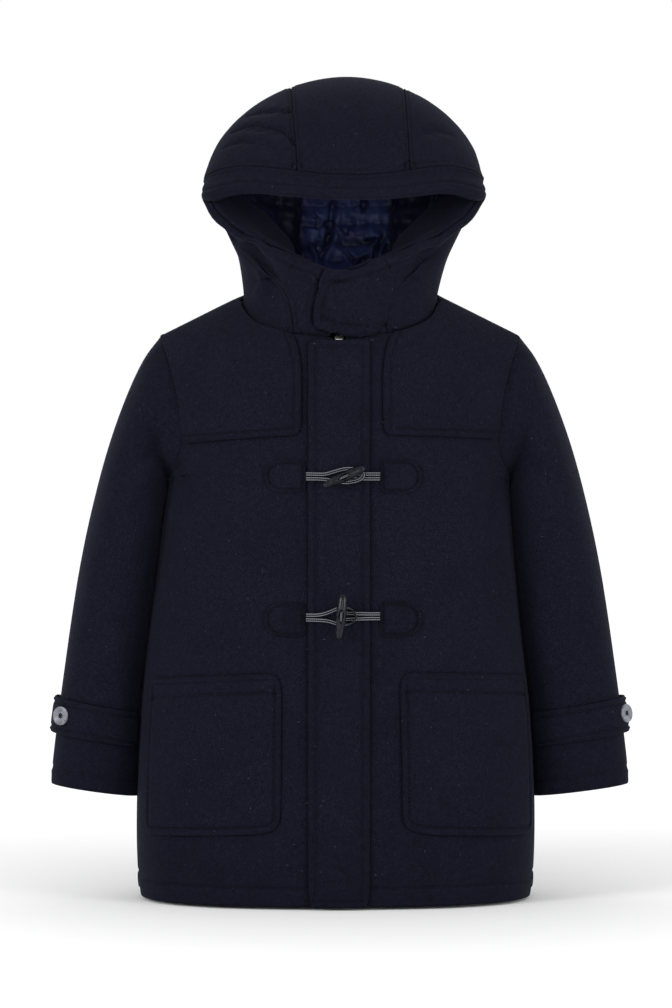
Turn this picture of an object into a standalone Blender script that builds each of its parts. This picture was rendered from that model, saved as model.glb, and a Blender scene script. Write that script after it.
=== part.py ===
"""A child's hooded duffle coat in heavy wool, hollow and filled out as if it were worn.

Frame: +Z up, the front faces -Y, +X is to the right of someone who looks at the front. The origin is
the middle of the neck opening, level with the neck ends of the shoulders.
All lengths in this file are millimetres and all angles radians, unless a name says degrees; the
functions that make objects turn millimetres into metres.
"""

import math

import bmesh
import bpy
import numpy as np
from mathutils import Matrix, Vector

MM = 0.001
QUARTER = math.pi / 2
RIGHT = 1
LEFT = -1
FRONT = -1
BACK = 1

# Walls and gaps
BODY_WALL = 3.0
HOOD_WALL = 2.8
TRIM_WALL = 2.2
PLACKET_WALL = 3.2
FACING_WALL = 1.8
LINING_WALL = 2.4
SEAM_GAP = 0.8
SLEEVE_SEAM_GAP = 0.9
SHOULDER_TIP_GAP = 1.6
UNDERARM_EASE = 0.7
TRIM_GAP = 0.5
TAPE_GAP = 0.8
YOKE_GAP = 1.3
LAYER_GAP = 2.6
RIM_GAP = 1.8
FACING_GAP = 3.4
LINING_GAP = 3.6
HOOD_GAP = 0.5
CORNER_GAP = 1.6
NECK_GAP = 0.8

# Heights of the body's main lines
HEM = -595.0
UNDERARM = -178.0
THROAT_SEAM = -41.0

# The neck and the shoulders
NECK_HALF = 95.0
NECK_DOME = 33.0
NECK_SIDE = 6.5
SHOULDER_SLOPE = 0.50
SHOULDER_SEAM_DROP = 7.0
TIP_SEAM_DROP = 4.0
FRONT_ROLL = 160.0
BACK_ROLL = 100.0
NAPE_SEAM = 7.0
NAPE_ROUND = 8
NECK_ROUND = 2.4
NECK_SHARE = 0.4

# The armhole: the body's panels end at this turn from the centre line, less at the underarm
BODY_ROUND = 2.35
ARMHOLE_TURN = math.radians(54.3)
UNDERARM_SHARE = 0.381

# The zip and the placket over it
ZIP_X = -1.0
ZIP_GAP = 11.0
PLACKET_LEFT = -30.1
PLACKET_RIGHT = 27.9
PLACKET_TOP = -45.8


class Sections:
    """A table of sections with named columns, read smoothly between its rows."""

    def __init__(self, columns, rows):
        self.names = columns.split()
        self.rows = np.array(rows, dtype=float)

    def read(self, place, name):
        """The value of the column called name where the first column has the value place."""
        key = self.rows[:, 0]
        value = self.rows[:, self.names.index(name)]
        step = np.diff(key)
        rise = np.diff(value) / step
        inner = (rise[:-1] * step[1:] + rise[1:] * step[:-1]) / (step[:-1] + step[1:])
        slope = np.concatenate([rise[:1], inner, rise[-1:]])
        place = np.clip(place, key[0], key[-1])
        i = np.clip(np.searchsorted(key, place, side="right") - 1, 0, len(step) - 1)
        t = (place - key[i]) / step[i]
        return (
            value[i] * (2 * t**3 - 3 * t**2 + 1)
            + value[i + 1] * (3 * t**2 - 2 * t**3)
            + slope[i] * step[i] * (t**3 - 2 * t**2 + t)
            + slope[i + 1] * step[i] * (t**3 - t**2)
        )


# Rings round the body. Above the underarm the half width is that of the ring which the armholes cut.
BODY = Sections(
    "height half_width front back centre",
    [
        (-595, 195.5, 111, 114, -4.5),
        (-560, 197.5, 111, 113, -4.5),
        (-490, 197.5, 110, 111, -4.2),
        (-408, 194.0, 109, 108, -4.5),
        (-325, 185.0, 107, 106, -5.0),
        (-280, 180.0, 106, 106, -4.0),
        (-230, 175.0, 106, 108, -2.8),
        (-178, 170.5, 106, 110, -0.5),
        (-150, 178.0, 105, 111, 0.0),
        (-125, 185.0, 105, 111, 0.0),
        (-99, 189.5, 105, 110, 0.0),
        (-70, 199.0, 105, 109, 0.0),
        (-38, 212.0, 105, 108, 0.0),
        (0, 225.0, 105, 108, 0.0),
        (35, 235.0, 105, 108, 0.0),
    ],
)

# Rings round a sleeve, from just outside the armhole to the cuff. The outer point is given; the inner
# one lies inner_drop below it, clear of the body. The girth settles how deep the ring is front to back.
SLEEVE = Sections(
    "ring outer_x outer_height inner_drop clear girth centre_y",
    [
        (0, 178.0, -39, 139, 1.0, 400, 2),
        (1, 194.0, -56, 127, 1.8, 385, 2),
        (2, 209.0, -86, 105, 2.4, 372, 3),
        (3, 226.0, -130, 74, 2.4, 352, 4),
        (4, 241.5, -182, 43, 3.0, 336, 5),
        (5, 255.5, -243, 24, 3.2, 318, 6),
        (6, 266.5, -303, 19, 3.2, 301, 6),
        (7, 277.0, -378, 16, 3.2, 284, 6),
        (8, 284.0, -430, 14, 3.2, 274, 6),
        (9, 291.0, -484, 13, 3.2, 262, 6),
    ],
)
SLEEVE_ROUND = 2.15

# Rings round the hood, from the neck seam (0) to the edge of the face opening (8). Each has a throat
# point at the front, a side point and a top point, joined by rounded quarter arcs.
HOOD = Sections(
    "ring half_width side_y side_z top_y top_z throat_y throat_z low_round top_round centre"
    " seam_half seam_centre",
    [
        (0, 96.5, 0, 6, 73, 8, -89.5, -41.0, 2.4, 2.2, 0.0, 36, 0),
        (1, 101.0, 2, 34, 97, 42, -91.0, -32.0, 2.2, 2.2, 1.5, 43, 2),
        (2, 108.5, 0, 64, 111, 88, -92.5, -23.0, 2.0, 2.2, 3.0, 49, 4),
        (3, 121.0, -8, 91, 106, 143, -94.0, -14.5, 1.8, 2.1, 3.5, 54, 6),
        (4, 131.5, -20, 108, 74, 199, -95.0, -6.5, 1.6, 2.0, 4.0, 56, 7),
        (5, 136.5, -31, 115, 12, 225, -95.5, 1.0, 1.45, 1.9, 4.0, 56, 7),
        (6, 138.0, -42, 111, -50, 196, -96.0, 8.0, 1.35, 1.95, 3.5, 56, 9),
        (7, 137.5, -53, 104, -90, 141, -96.0, 14.0, 1.3, 2.3, 3.5, 55, 12),
        (8, 136.5, -63, 97, -107, 93, -96.0, 19.5, 1.25, 2.6, 3.5, 55, 14),
    ],
)
LOWER_COLUMNS = 11
UPPER_COLUMNS = 9
SEAM_COLUMNS = 3
HALF_COLUMNS = LOWER_COLUMNS + UPPER_COLUMNS + SEAM_COLUMNS
HOOD_RINGS = 8
BRIM_LIFT = 7.0

# The course of the band's seam up the front of the neck, seen from the front, and the column of the
# hood at which the band meets the face opening across from it
BAND_SEAM = Sections(
    "height across rim_column",
    [
        (-38, 45.0, 0.6),
        (-20, 46.8, 1.3),
        (-6, 49.0, 2.1),
        (5, 54.0, 3.1),
        (16, 65.0, 4.3),
        (28, 77.0, 5.8),
        (42, 91.0, 7.5),
        (54, 104.0, 9.1),
    ],
)
BAND_SIDE = 29.0
BAND_TOP = 23.0
TAB_LAP = 3.5
FACING_DEPTH = 52.0


# Colours and finishes: red, green and blue (linear), roughness, metallic
FINISHES = {
    "wool": ((0.011, 0.010, 0.020), 0.95, 0.0),
    "lining": ((0.008, 0.012, 0.070), 0.45, 0.0),
    "braid": ((0.120, 0.120, 0.140), 0.80, 0.0),
    "horn": ((0.012, 0.012, 0.020), 0.25, 0.0),
    "button": ((0.160, 0.160, 0.180), 0.35, 0.0),
    "tape": ((0.015, 0.015, 0.022), 0.90, 0.0),
    "nickel": ((0.600, 0.590, 0.560), 0.25, 1.0),
}


# ---------------------------------------------------------------- scene, objects and cloth


def clear_scene():
    """Remove every object, so that the script gives the same result each time it runs."""
    for old in list(bpy.data.objects):
        bpy.data.objects.remove(old, do_unlink=True)


def make_collection(name):
    """A collection of that name under the scene."""
    collection = bpy.data.collections.new(name)
    bpy.context.scene.collection.children.link(collection)
    return collection


def make_material(name, colour, roughness, metallic):
    """A Principled material."""
    material = bpy.data.materials.new(name)
    material.use_nodes = True
    shader = material.node_tree.nodes["Principled BSDF"]
    shader.inputs["Base Color"].default_value = (*colour, 1.0)
    shader.inputs["Roughness"].default_value = roughness
    shader.inputs["Metallic"].default_value = metallic
    return material


def add_object(name, mesh, finish, collection):
    """An object for a mesh, with a material of its own."""
    obj = bpy.data.objects.new(name, mesh)
    collection.objects.link(obj)
    mesh.materials.append(make_material(name, *FINISHES[finish]))
    mesh.shade_smooth()
    mesh.set_sharp_from_angle(angle=math.radians(40))
    return obj


def thicken(obj, wall):
    """Give an open surface its wall, inwards from its outer face."""
    solid = obj.modifiers.new("wall", "SOLIDIFY")
    solid.thickness = wall * MM
    solid.offset = -1
    solid.use_even_offset = False
    solid.use_quality_normals = True


def add_cloth(name, grid, wall, finish, collection, tube=False):
    """A cloth piece through a grid of points. Rows run upwards and columns run anticlockwise as seen
    from above, so that the faces look outwards. A tube's last column joins its first."""
    rows, columns = grid.shape[:2]
    faces = []
    for row in range(rows - 1):
        for column in range(columns if tube else columns - 1):
            following = (column + 1) % columns
            low = row * columns
            high = low + columns
            faces.append((low + column, low + following, high + following, high + column))
    mesh = bpy.data.meshes.new(name)
    mesh.from_pydata((grid.reshape(-1, 3) * MM).tolist(), [], faces)
    obj = add_object(name, mesh, finish, collection)
    thicken(obj, wall)
    return obj


def outward(grid, tube=False):
    """Unit vectors that point out of a grid's surface, one at each point."""
    if tube:
        across = np.roll(grid, -1, axis=1) - np.roll(grid, 1, axis=1)
    else:
        across = np.gradient(grid, axis=1)
    up = np.gradient(grid, axis=0)
    normal = np.cross(across, up)
    return normal / np.maximum(np.linalg.norm(normal, axis=2, keepdims=True), 1e-9)


def moved_out(grid, distance, tube=False):
    """The grid with its points moved out of its surface."""
    return grid + outward(grid, tube) * np.asarray(distance)[..., None]


def trimmed(grid, gap, left=True, right=True, bottom=True, top=True):
    """The grid with its edges drawn back, so that a seam keeps its gap."""
    grid = grid.copy()
    for wanted, edge, inner in (
        (left, np.s_[:, 0], np.s_[:, 1]),
        (right, np.s_[:, -1], np.s_[:, -2]),
        (bottom, np.s_[0], np.s_[1]),
        (top, np.s_[-1], np.s_[-2]),
    ):
        if wanted:
            way = grid[inner] - grid[edge]
            length = np.maximum(np.linalg.norm(way, axis=-1, keepdims=True), 1e-9)
            grid[edge] = grid[edge] + way / length * np.minimum(gap, length / 2)
    return grid


def lengths_along(line):
    """The distance of each point of a line from its first point."""
    steps = np.linalg.norm(np.diff(line, axis=0), axis=1)
    return np.concatenate([[0.0], np.cumsum(steps)])


def along(line, shares):
    """Points of a line at shares of its length."""
    length = lengths_along(line)
    wanted = np.asarray(shares) * length[-1]
    return np.stack([np.interp(wanted, length, line[:, axis]) for axis in range(3)], axis=-1)


# ---------------------------------------------------------------- the body's outer face


def ridge_height(across):
    """Height of the shoulder's ridge at a distance from the centre, a low dome under the hood."""
    across = np.abs(across)
    dome = NECK_DOME - (NECK_DOME - NECK_SIDE) * (across / NECK_HALF) ** 2
    slope = NECK_SIDE - SHOULDER_SLOPE * (across - NECK_HALF)
    return np.where(across < NECK_HALF, dome, slope)


def body_x(turn, height):
    """How far to the side the body's face lies, at a turn from the centre line."""
    share = np.sign(turn) * np.abs(np.sin(turn)) ** (2 / BODY_ROUND)
    return BODY.read(height, "centre") + BODY.read(height, "half_width") * share


def body_turn(x, height):
    """The turn at which the body's face lies that far to the side."""
    share = (x - BODY.read(height, "centre")) / BODY.read(height, "half_width")
    share = np.clip(share, -1, 1)
    return np.sign(share) * np.arcsin(np.abs(share) ** (BODY_ROUND / 2))


def body_point(turn, height, face):
    """A point of the body's outer face, front or back."""
    turn, height, face = np.broadcast_arrays(turn, np.asarray(height, dtype=float), face)
    x = body_x(turn, height)
    drop = np.maximum(ridge_height(x) - height, 0)
    roll = np.where(face == FRONT, FRONT_ROLL, BACK_ROLL)
    fullness = np.sin(np.arccos(np.clip(1 - drop / roll, 0, 1)))
    depth = np.where(face == FRONT, BODY.read(height, "front"), BODY.read(height, "back"))
    y = face * depth * fullness * np.abs(np.cos(turn)) ** (2 / BODY_ROUND)
    return np.stack([x, y, height], axis=-1)


def front_at(x, height):
    """The point of the front that lies at x and that height."""
    x, height = np.broadcast_arrays(np.asarray(x, dtype=float), height)
    return body_point(body_turn(x, height), height, FRONT)


def lean_of(drop, roll):
    """How far a point that lies a drop below the ridge has leant over the shoulder."""
    return np.where(drop < roll, np.arccos(np.clip(1 - drop / roll, -1, 1)), QUARTER + drop / roll - 1)


def drop_of(lean, roll):
    """The drop below the ridge of a point that has leant over the shoulder."""
    return roll * np.where(lean < QUARTER, 1 - np.cos(lean), 1 + lean - QUARTER)


def armhole_turn(rise):
    """Where a panel ends at the side: a quarter turn at the underarm (0), the armhole above it (1)."""
    share = np.clip(rise / UNDERARM_SHARE, 0, 1)
    return QUARTER - (QUARTER - ARMHOLE_TURN) * np.sqrt(1 - (1 - share) ** 2)


def neck_front_height(across, half):
    """Height of the neck seam on the front, at a distance from the centre."""
    corner = ridge_height(half) - SHOULDER_SEAM_DROP
    share = np.clip(np.abs(across) / half, 0, 1)
    return corner + (THROAT_SEAM - corner) * (1 - share**NECK_ROUND) ** (1 / NECK_ROUND)


def seam_drop(across):
    """How far the shoulder seam lies below the ridge, less towards its outer end."""
    share = np.clip((np.abs(across) - NECK_HALF) / (178 - NECK_HALF), 0, 1)
    return SHOULDER_SEAM_DROP + (TIP_SEAM_DROP - SHOULDER_SEAM_DROP) * share


def front_point(side, share, rise, start=None):
    """A point of a front panel. share runs from the zip line (0) over the end of the neck seam
    (NECK_SHARE) to the side (1). rise runs from the hem (-1) over the underarm (0) to the top (1)."""
    share, rise = np.broadcast_arrays(np.asarray(share, dtype=float), np.asarray(rise, dtype=float))
    start = ZIP_X + side * ZIP_GAP / 2 if start is None else start
    end = side * armhole_turn(rise)
    height = UNDERARM + (UNDERARM - HEM) * np.minimum(rise, 0)
    for _ in range(8):
        first = body_turn(start, height)
        inner = first + (NECK_SHARE * end - first) * share / NECK_SHARE
        outer = end * share
        turn = np.where(share < NECK_SHARE, inner, outer)
        corner_top = body_x(NECK_SHARE * ARMHOLE_TURN, 0.0)
        x = body_x(turn, height)
        top = np.where(
            share < NECK_SHARE,
            neck_front_height(x, corner_top),
            ridge_height(x) - seam_drop(x),
        )
        height = np.where(rise > 0, UNDERARM + (top - UNDERARM) * rise, height)
    return body_point(turn, height, FRONT)


def back_point(share, rise):
    """A point of the back panel. share runs from the left side (-1) to the right (1)."""
    share, rise = np.broadcast_arrays(np.asarray(share, dtype=float), np.asarray(rise, dtype=float))
    turn = share * armhole_turn(rise)
    height = UNDERARM + (UNDERARM - HEM) * np.minimum(rise, 0)
    face = np.full(share.shape, BACK)
    for _ in range(8):
        x = body_x(turn, height)
        foot = lean_of(ridge_height(body_x(share * QUARTER, UNDERARM)) - UNDERARM, BACK_ROLL)
        seam_lean = -lean_of(seam_drop(x), FRONT_ROLL)
        nape_lean = lean_of(ridge_height(x) - NAPE_SEAM, BACK_ROLL)
        turned = np.abs(share / NECK_SHARE) ** NAPE_ROUND
        neck_lean = nape_lean + (seam_lean - nape_lean) * turned
        top = np.where(np.abs(share) < NECK_SHARE, neck_lean, seam_lean)
        lean = foot + (top - foot) * np.maximum(rise, 0)
        face = np.where((rise > 0) & (lean < 0), FRONT, BACK)
        drop = drop_of(np.abs(lean), np.where(face == FRONT, FRONT_ROLL, BACK_ROLL))
        height = np.where(rise > 0, ridge_height(x) - drop, height)
    return body_point(turn, height, face)


FRONT_SHARES = [0, 0.12, 0.24, 0.34, 0.385, 0.4, 0.52, 0.64, 0.76, 0.88, 0.97, 1.0]
BACK_SHARES = [0, 0.13, 0.26, 0.36, 0.4, 0.52, 0.68, 0.84, 0.97, 1.0]
LOWER_RISES = [-1, -0.86, -0.7, -0.54, -0.38, -0.24, -0.11, -0.015]
UPPER_RISES = [0, 0.03, 0.11, 0.23, 0.381, 0.52, 0.67, 0.81, 0.93, 0.985, 1.0]


def make_fronts(coat):
    """The two front panels, from the zip to the side seams, armholes and shoulder seams."""
    share, rise = np.meshgrid(FRONT_SHARES, LOWER_RISES + UPPER_RISES)
    for side, name in ((LEFT, "front_left"), (RIGHT, "front_right")):
        grid = front_point(side, share, rise)
        if side == LEFT:
            grid = grid[:, ::-1]
        grid = trimmed(grid, SEAM_GAP / 2, left=side == RIGHT, right=side == LEFT, bottom=False)
        grid = trimmed(grid, side_gap(rise), left=side == LEFT, right=side == RIGHT, bottom=False, top=False)
        add_cloth(name, grid, BODY_WALL, "wool", coat)


def side_gap(rise):
    """The gap left along a side edge: a little more where the side seam meets the armhole."""
    return SEAM_GAP / 2 + UNDERARM_EASE * np.exp(-((rise[:, :1] / 0.05) ** 2))


def make_back(coat):
    """The back panel: it reaches over the shoulders to the seams, which lie a little to the front."""
    shares = [-share for share in BACK_SHARES[:0:-1]] + BACK_SHARES
    share, rise = np.meshgrid(shares[::-1], LOWER_RISES + UPPER_RISES)
    grid = trimmed(back_point(share, rise), SEAM_GAP / 2, left=False, right=False, bottom=False)
    grid = trimmed(grid, side_gap(rise), bottom=False, top=False)
    add_cloth("back", grid, BODY_WALL, "wool", coat)


# ---------------------------------------------------------------- trim that lies on the fronts


def rounded_inset(distance, radius):
    """How far a rounded corner draws a side in, at a distance from the edge it runs to."""
    reach = np.clip(radius - distance, 0, radius)
    return radius - np.sqrt(radius**2 - reach**2)


def corner_steps(radius):
    """Distances from an edge that follow a rounded corner well."""
    return [radius * (1 - math.cos(math.radians(turn))) for turn in (0, 30, 60, 90)]


def laid_on_front(x, height, wall, gap=TRIM_GAP):
    """The outer face of a trim piece, moved out from the points of the front it lies on."""
    grid = front_at(x, height)
    return moved_out(grid, np.full(grid.shape[:2], gap + wall))


def make_placket(coat):
    """The fly over the zip: free along its left edge, sewn along its right."""
    radius = 6.0
    heights = list(np.arange(-560, -180, 40)) + [-165, -138, -118, -102, -88, -76, -66, -58]
    heights.insert(0, HEM + 0.6)
    heights += [PLACKET_TOP - step for step in reversed(corner_steps(radius))]
    left = [PLACKET_LEFT + rounded_inset(PLACKET_TOP - height, radius) for height in heights]
    share = np.array([0, 0.15, 0.5, 0.85, 1.0])
    x = np.array([start + (PLACKET_RIGHT - start) * share for start in left])
    height = np.repeat(np.array(heights)[:, None], len(share), axis=1)
    grid = laid_on_front(x, height, PLACKET_WALL)
    add_cloth("placket", grid, PLACKET_WALL, "wool", coat)


POCKETS = (
    # side, inner edge x, outer edge x, top at the inner and outer edge, bottom at each
    (LEFT, -57.2, -189.0, -367.0, -375.5, -523.0, -529.5),
    (RIGHT, 59.5, 186.5, -366.0, -372.5, -523.0, -530.5),
)


def make_pockets(coat):
    """Patch pockets with rounded lower corners, reaching round to the side seams."""
    radius = 14.0
    for side, inner, outer, top_in, top_out, bottom_in, bottom_out in POCKETS:
        drop = bottom_in - top_in
        rows = corner_steps(radius) + [40, 65, 95, 125, -drop]
        height_share = np.array(rows)[:, None] / -drop
        edge_turns = body_turn(np.array([inner, outer]), (top_in + bottom_in) / 2)
        share = np.linspace(0, 1, 10)[None, :]
        inset = rounded_inset(np.array(rows), radius)[:, None] / abs(outer - inner)
        share = inset + share * (1 - 2 * inset)
        bottom = bottom_in + (bottom_out - bottom_in) * share
        top = top_in + (top_out - top_in) * share
        height = bottom + (top - bottom) * height_share
        turn = edge_turns[0] + (edge_turns[1] - edge_turns[0]) * share
        x = body_x(turn, height)
        if side == LEFT:
            x, height = x[:, ::-1], height[:, ::-1]
        grid = laid_on_front(x, height, TRIM_WALL)
        name = "pocket_left" if side == LEFT else "pocket_right"
        add_cloth(name, grid, TRIM_WALL, "wool", coat)


PATCH_LENGTH = 40.0
PATCHES = (
    # name, side, straight edge x, middle height, breadth
    ("patch_upper_left", LEFT, -33.0, -177.0, 31.5),
    ("patch_upper_right", RIGHT, 38.5, -177.2, 33.0),
    ("patch_lower_left", LEFT, -33.0, -316.0, 34.5),
    ("patch_lower_right", RIGHT, 38.5, -315.6, 35.0),
)


def make_patches(coat):
    """D-shaped patches: straight towards the placket, a half circle at the outer end."""
    for name, side, edge, middle, breadth in PATCHES:
        radius = breadth / 2
        straight = PATCH_LENGTH - radius
        turns = np.radians([0, 20, 40, 60, 78])
        reach = np.concatenate([[0, straight / 2], straight + radius * np.sin(turns)])
        half = np.concatenate([[radius, radius], radius * np.cos(turns)])
        x = edge + side * reach
        share = np.linspace(-1, 1, 5)[:, None]
        height = middle + share * half[None, :]
        x = np.repeat(x[None, :], 5, axis=0)
        if side == LEFT:
            x, height = x[:, ::-1], height[:, ::-1]
        grid = laid_on_front(x, height, TRIM_WALL)
        add_cloth(name, grid, TRIM_WALL, "wool", coat)


YOKES = (
    # name, side, front edge x at the bottom and at the neck, height of the lower edge inside and outside
    ("yoke_left", LEFT, 38.0, 46.5, -137.0, -145.5),
    ("yoke_right", RIGHT, 42.0, 50.5, -137.0, -140.5),
)
YOKE_ROWS = 8
YOKE_COLUMNS = 12


def make_yokes(coat):
    """Storm yokes on the upper fronts, sewn into the neck, shoulder and armhole seams."""
    up = 1 - (1 - np.linspace(0, 1, YOKE_ROWS)[:, None]) ** 1.5
    out = np.linspace(0, 1, YOKE_COLUMNS)[None, :]
    for name, side, low_x, high_x, low_inside, low_outside in YOKES:
        seam = front_point(side, np.linspace(0, 1, 200), 1.0)[:, [0, 2]]
        armhole = front_point(side, 1.0, np.linspace(0, 1, 200))[:, [0, 2]]
        seam = seam[np.abs(seam[:, 0]) >= high_x]
        armhole = armhole[armhole[:, 1] >= low_outside]
        seam_line = np.pad(seam, ((0, 0), (0, 1)))
        top = along(seam_line, out[0])[:, :2]
        right = along(np.pad(armhole, ((0, 0), (0, 1))), up[:, 0])[:, :2]
        first = np.array([side * low_x, low_inside])
        bottom = first + (right[0] - first) * out[0][:, None]
        flare = np.clip((up[:, 0] - 0.6) / 0.4, 0, 1) ** 2
        left = np.stack(
            [side * (low_x + (high_x - low_x) * flare), low_inside + (top[0, 1] - low_inside) * up[:, 0]],
            axis=-1,
        )
        across = (1 - out[..., None]) * left[:, None] + out[..., None] * right[:, None]
        upward = (1 - up[..., None]) * bottom[None] + up[..., None] * top[None]
        corners = (1 - up[..., None]) * ((1 - out[..., None]) * left[0] + out[..., None] * right[0])
        corners = corners + up[..., None] * ((1 - out[..., None]) * top[0] + out[..., None] * top[-1])
        place = across + upward - corners
        if side == LEFT:
            place = place[:, ::-1]
        grid = laid_on_front(place[..., 0], place[..., 1], TRIM_WALL, YOKE_GAP)
        grid = trimmed(grid, 1.0, left=side == LEFT, right=side == RIGHT, bottom=False)
        add_cloth(name, grid, TRIM_WALL, "wool", coat)


# ---------------------------------------------------------------- sleeves and cuffs

TIP_SHARE = 0.044
TIP_REACH = 18.0
UNDERARM_REACH = 10.0
SLEEVE_ROWS = [0, 0.08, 0.5, 1, 1.7, 2.5, 3.5, 4.6, 5.7, 6.8, 7.9, 9]


def armhole_line(side):
    """The armhole's seam: from the shoulder's tip down the front, under the arm and up the back."""
    rises = np.array(UPPER_RISES)
    front = front_point(side, 1.0, rises[::-1])
    back = back_point(side * 1.0, rises)
    return np.concatenate([front, back[1:]])


def body_side_x(y, height, side):
    """How far out the body's side lies at y and a height, on one side."""
    depth = np.where(y < 0, BODY.read(height, "front"), BODY.read(height, "back"))
    share = np.clip(np.abs(y) / depth, 0, 1)
    reach = BODY.read(height, "half_width") * (1 - share**BODY_ROUND) ** (1 / BODY_ROUND)
    return side * BODY.read(height, "centre") + reach


def sleeve_ring(side, ring, shares):
    """Points of one ring of a sleeve at shares of its girth, from its outer point round the front."""
    outer = np.array([SLEEVE.read(ring, "outer_x"), 0.0, SLEEVE.read(ring, "outer_height")])
    inner_height = outer[2] - SLEEVE.read(ring, "inner_drop")
    clear = SLEEVE.read(ring, "clear")
    body_height = min(inner_height, UNDERARM)
    inner = np.array([body_side_x(0.0, body_height, side) + clear, 0.0, inner_height])
    middle = (outer + inner) / 2
    half = (outer - inner) / 2
    width = np.linalg.norm(half)
    depth = SLEEVE.read(ring, "girth") / (math.pi * 1.015) - width
    turn = np.linspace(0, 2 * math.pi, 241)
    power = 2 / SLEEVE_ROUND
    out = np.sign(np.cos(turn)) * np.abs(np.cos(turn)) ** power
    fore = -np.sign(np.sin(turn)) * np.abs(np.sin(turn)) ** power
    line = middle + half * out[:, None]
    line[:, 1] = SLEEVE.read(ring, "centre_y") + depth * fore
    ring_line = along(line, shares)
    ring_line[:, 0] *= side
    return kept_clear(ring_line, side, clear)


def kept_clear(line, side, clear):
    """The line with its points below the underarm kept clear of the body's side."""
    low = line[:, 2] < UNDERARM
    nearest = body_side_x(line[:, 1], np.minimum(line[:, 2], UNDERARM), side) + clear
    reach = side * line[:, 0]
    line[:, 0] = side * np.where(low, np.maximum(reach, nearest), reach)
    return line


def sleeve_points(side, rings, shares=None):
    """The grid of a sleeve's outer face. It starts on the armhole's seam and leaves it smoothly."""
    seam = armhole_line(side)
    seam_shares = lengths_along(seam) / lengths_along(seam)[-1]
    even = np.linspace(0, 1, len(seam))
    even[-1] = seam_shares[-1] = 1.0
    grid = []
    for ring in rings:
        settled = min(ring / 4, 1)
        places = seam_shares + (even - seam_shares) * settled + TIP_SHARE * (1 - settled)
        line = sleeve_ring(side, ring, (places if shares is None else shares) % 1.0)
        if ring < 1:
            start = seam - sleeve_ring(side, 0, (seam_shares + TIP_SHARE) % 1.0)
            line = line + start * (1 - ring) ** 1.5
            if ring > 0:
                line = kept_clear(line, side, SLEEVE.read(ring, "clear"))
        grid.append(line)
    return np.array(grid)


def make_sleeves(coat):
    """Set-in sleeves, hanging beside the body just clear of it."""
    for side, name in ((LEFT, "sleeve_left"), (RIGHT, "sleeve_right")):
        grid = sleeve_points(side, SLEEVE_ROWS)[::-1, :-1]
        if side == RIGHT:
            grid = grid[:, ::-1]
        height = grid[-1, :, 2]
        tip = np.exp(-(((height - height.max()) / TIP_REACH) ** 2))
        underarm = np.exp(-(((height - height.min()) / UNDERARM_REACH) ** 2))
        gap = (SLEEVE_SEAM_GAP + SHOULDER_TIP_GAP * tip + UNDERARM_EASE * underarm)[:, None]
        grid = trimmed(grid, gap, left=False, right=False, bottom=False)
        add_cloth(name, grid, BODY_WALL, "wool", coat, tube=True)


# ---------------------------------------------------------------- hood


def quarter_arc(first, last, power, count=60):
    """A rounded quarter from the point first, on the centre line, to the point last, at the side."""
    turn = np.linspace(0, QUARTER, count)
    out = np.sin(turn) ** (2 / power)
    in_line = np.cos(turn) ** (2 / power)
    x = first[0] + (last[0] - first[0]) * out
    y = last[1] + (first[1] - last[1]) * in_line
    z = last[2] + (first[2] - last[2]) * in_line
    return np.stack([x, y, z], axis=-1)


def neck_seam(side):
    """The neck seam on the body, from the zip line round one side to the middle of the back."""
    front = front_point(side, np.linspace(0, NECK_SHARE, 60), 1.0, start=ZIP_X)
    back = back_point(side * np.linspace(NECK_SHARE, 0, 60), 1.0)
    line = np.concatenate([front, back[1:]])
    split = int(np.argmax(line[:, 1] > 0))
    return line[:split], line[split - 1:]


def spread(lower, upper, seam_x):
    """Points of a half ring: even steps to the side, even steps to the centre panel's seam, and even
    steps over the centre panel. lower runs from the throat to the side, upper on to the top."""
    to_side = along(lower, np.linspace(0, 1, LOWER_COLUMNS + 1))
    reach = np.abs(upper[:, 0] - upper[-1, 0])
    seam_at = int(np.argmax(reach < abs(seam_x)))
    to_seam = along(upper[: seam_at + 1], np.linspace(0, 1, UPPER_COLUMNS + 1))
    over = along(upper[seam_at:], np.linspace(0, 1, SEAM_COLUMNS + 1))
    return np.concatenate([to_side, to_seam[1:], over[1:]])


def hood_half_ring(side, ring):
    """Points of one half of a ring of the hood, from the throat to the top centre."""

    def value(name):
        return float(HOOD.read(ring, name))

    centre = value("centre")
    throat = (ZIP_X, value("throat_y"), value("throat_z"))
    flank = (centre + side * value("half_width"), value("side_y"), value("side_z"))
    top = (value("seam_centre"), value("top_y"), value("top_z"))
    lower = quarter_arc(throat, flank, value("low_round"))
    upper = quarter_arc(top, flank, value("top_round"), 400)[::-1]
    near_rim = max(0, (ring - 6) / 2) ** 2
    share = np.linspace(0, 1, len(upper))
    upper[:, 2] += BRIM_LIFT * near_rim * np.sin(math.pi * share**1.2) ** 2
    return spread(lower, upper, value("seam_half"))


def hood_meridians(side, rings):
    """Points of one half of the hood at places between its rings, fitted to the neck seam at ring 0."""
    lower, upper = neck_seam(side)
    seam = spread(lower, upper, float(HOOD.read(0, "seam_half")))
    fit = seam - hood_half_ring(side, 0)
    return np.array([hood_half_ring(side, r) + fit * max(0, 1 - r / 1.5) ** 2 for r in rings])


# Soft folds pressed into the hood: from one place to another as seen from the front (x, height), on the
# near face; how wide each is to either side of its line and how deep.
HOOD_FOLDS = Sections(
    "fold x0 z0 x1 z1 reach depth",
    [
        (0, -88, 42, -52, 6, 13, 5.0),
        (1, 78, 38, 58, 2, 13, 3.0),
    ],
)


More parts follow.
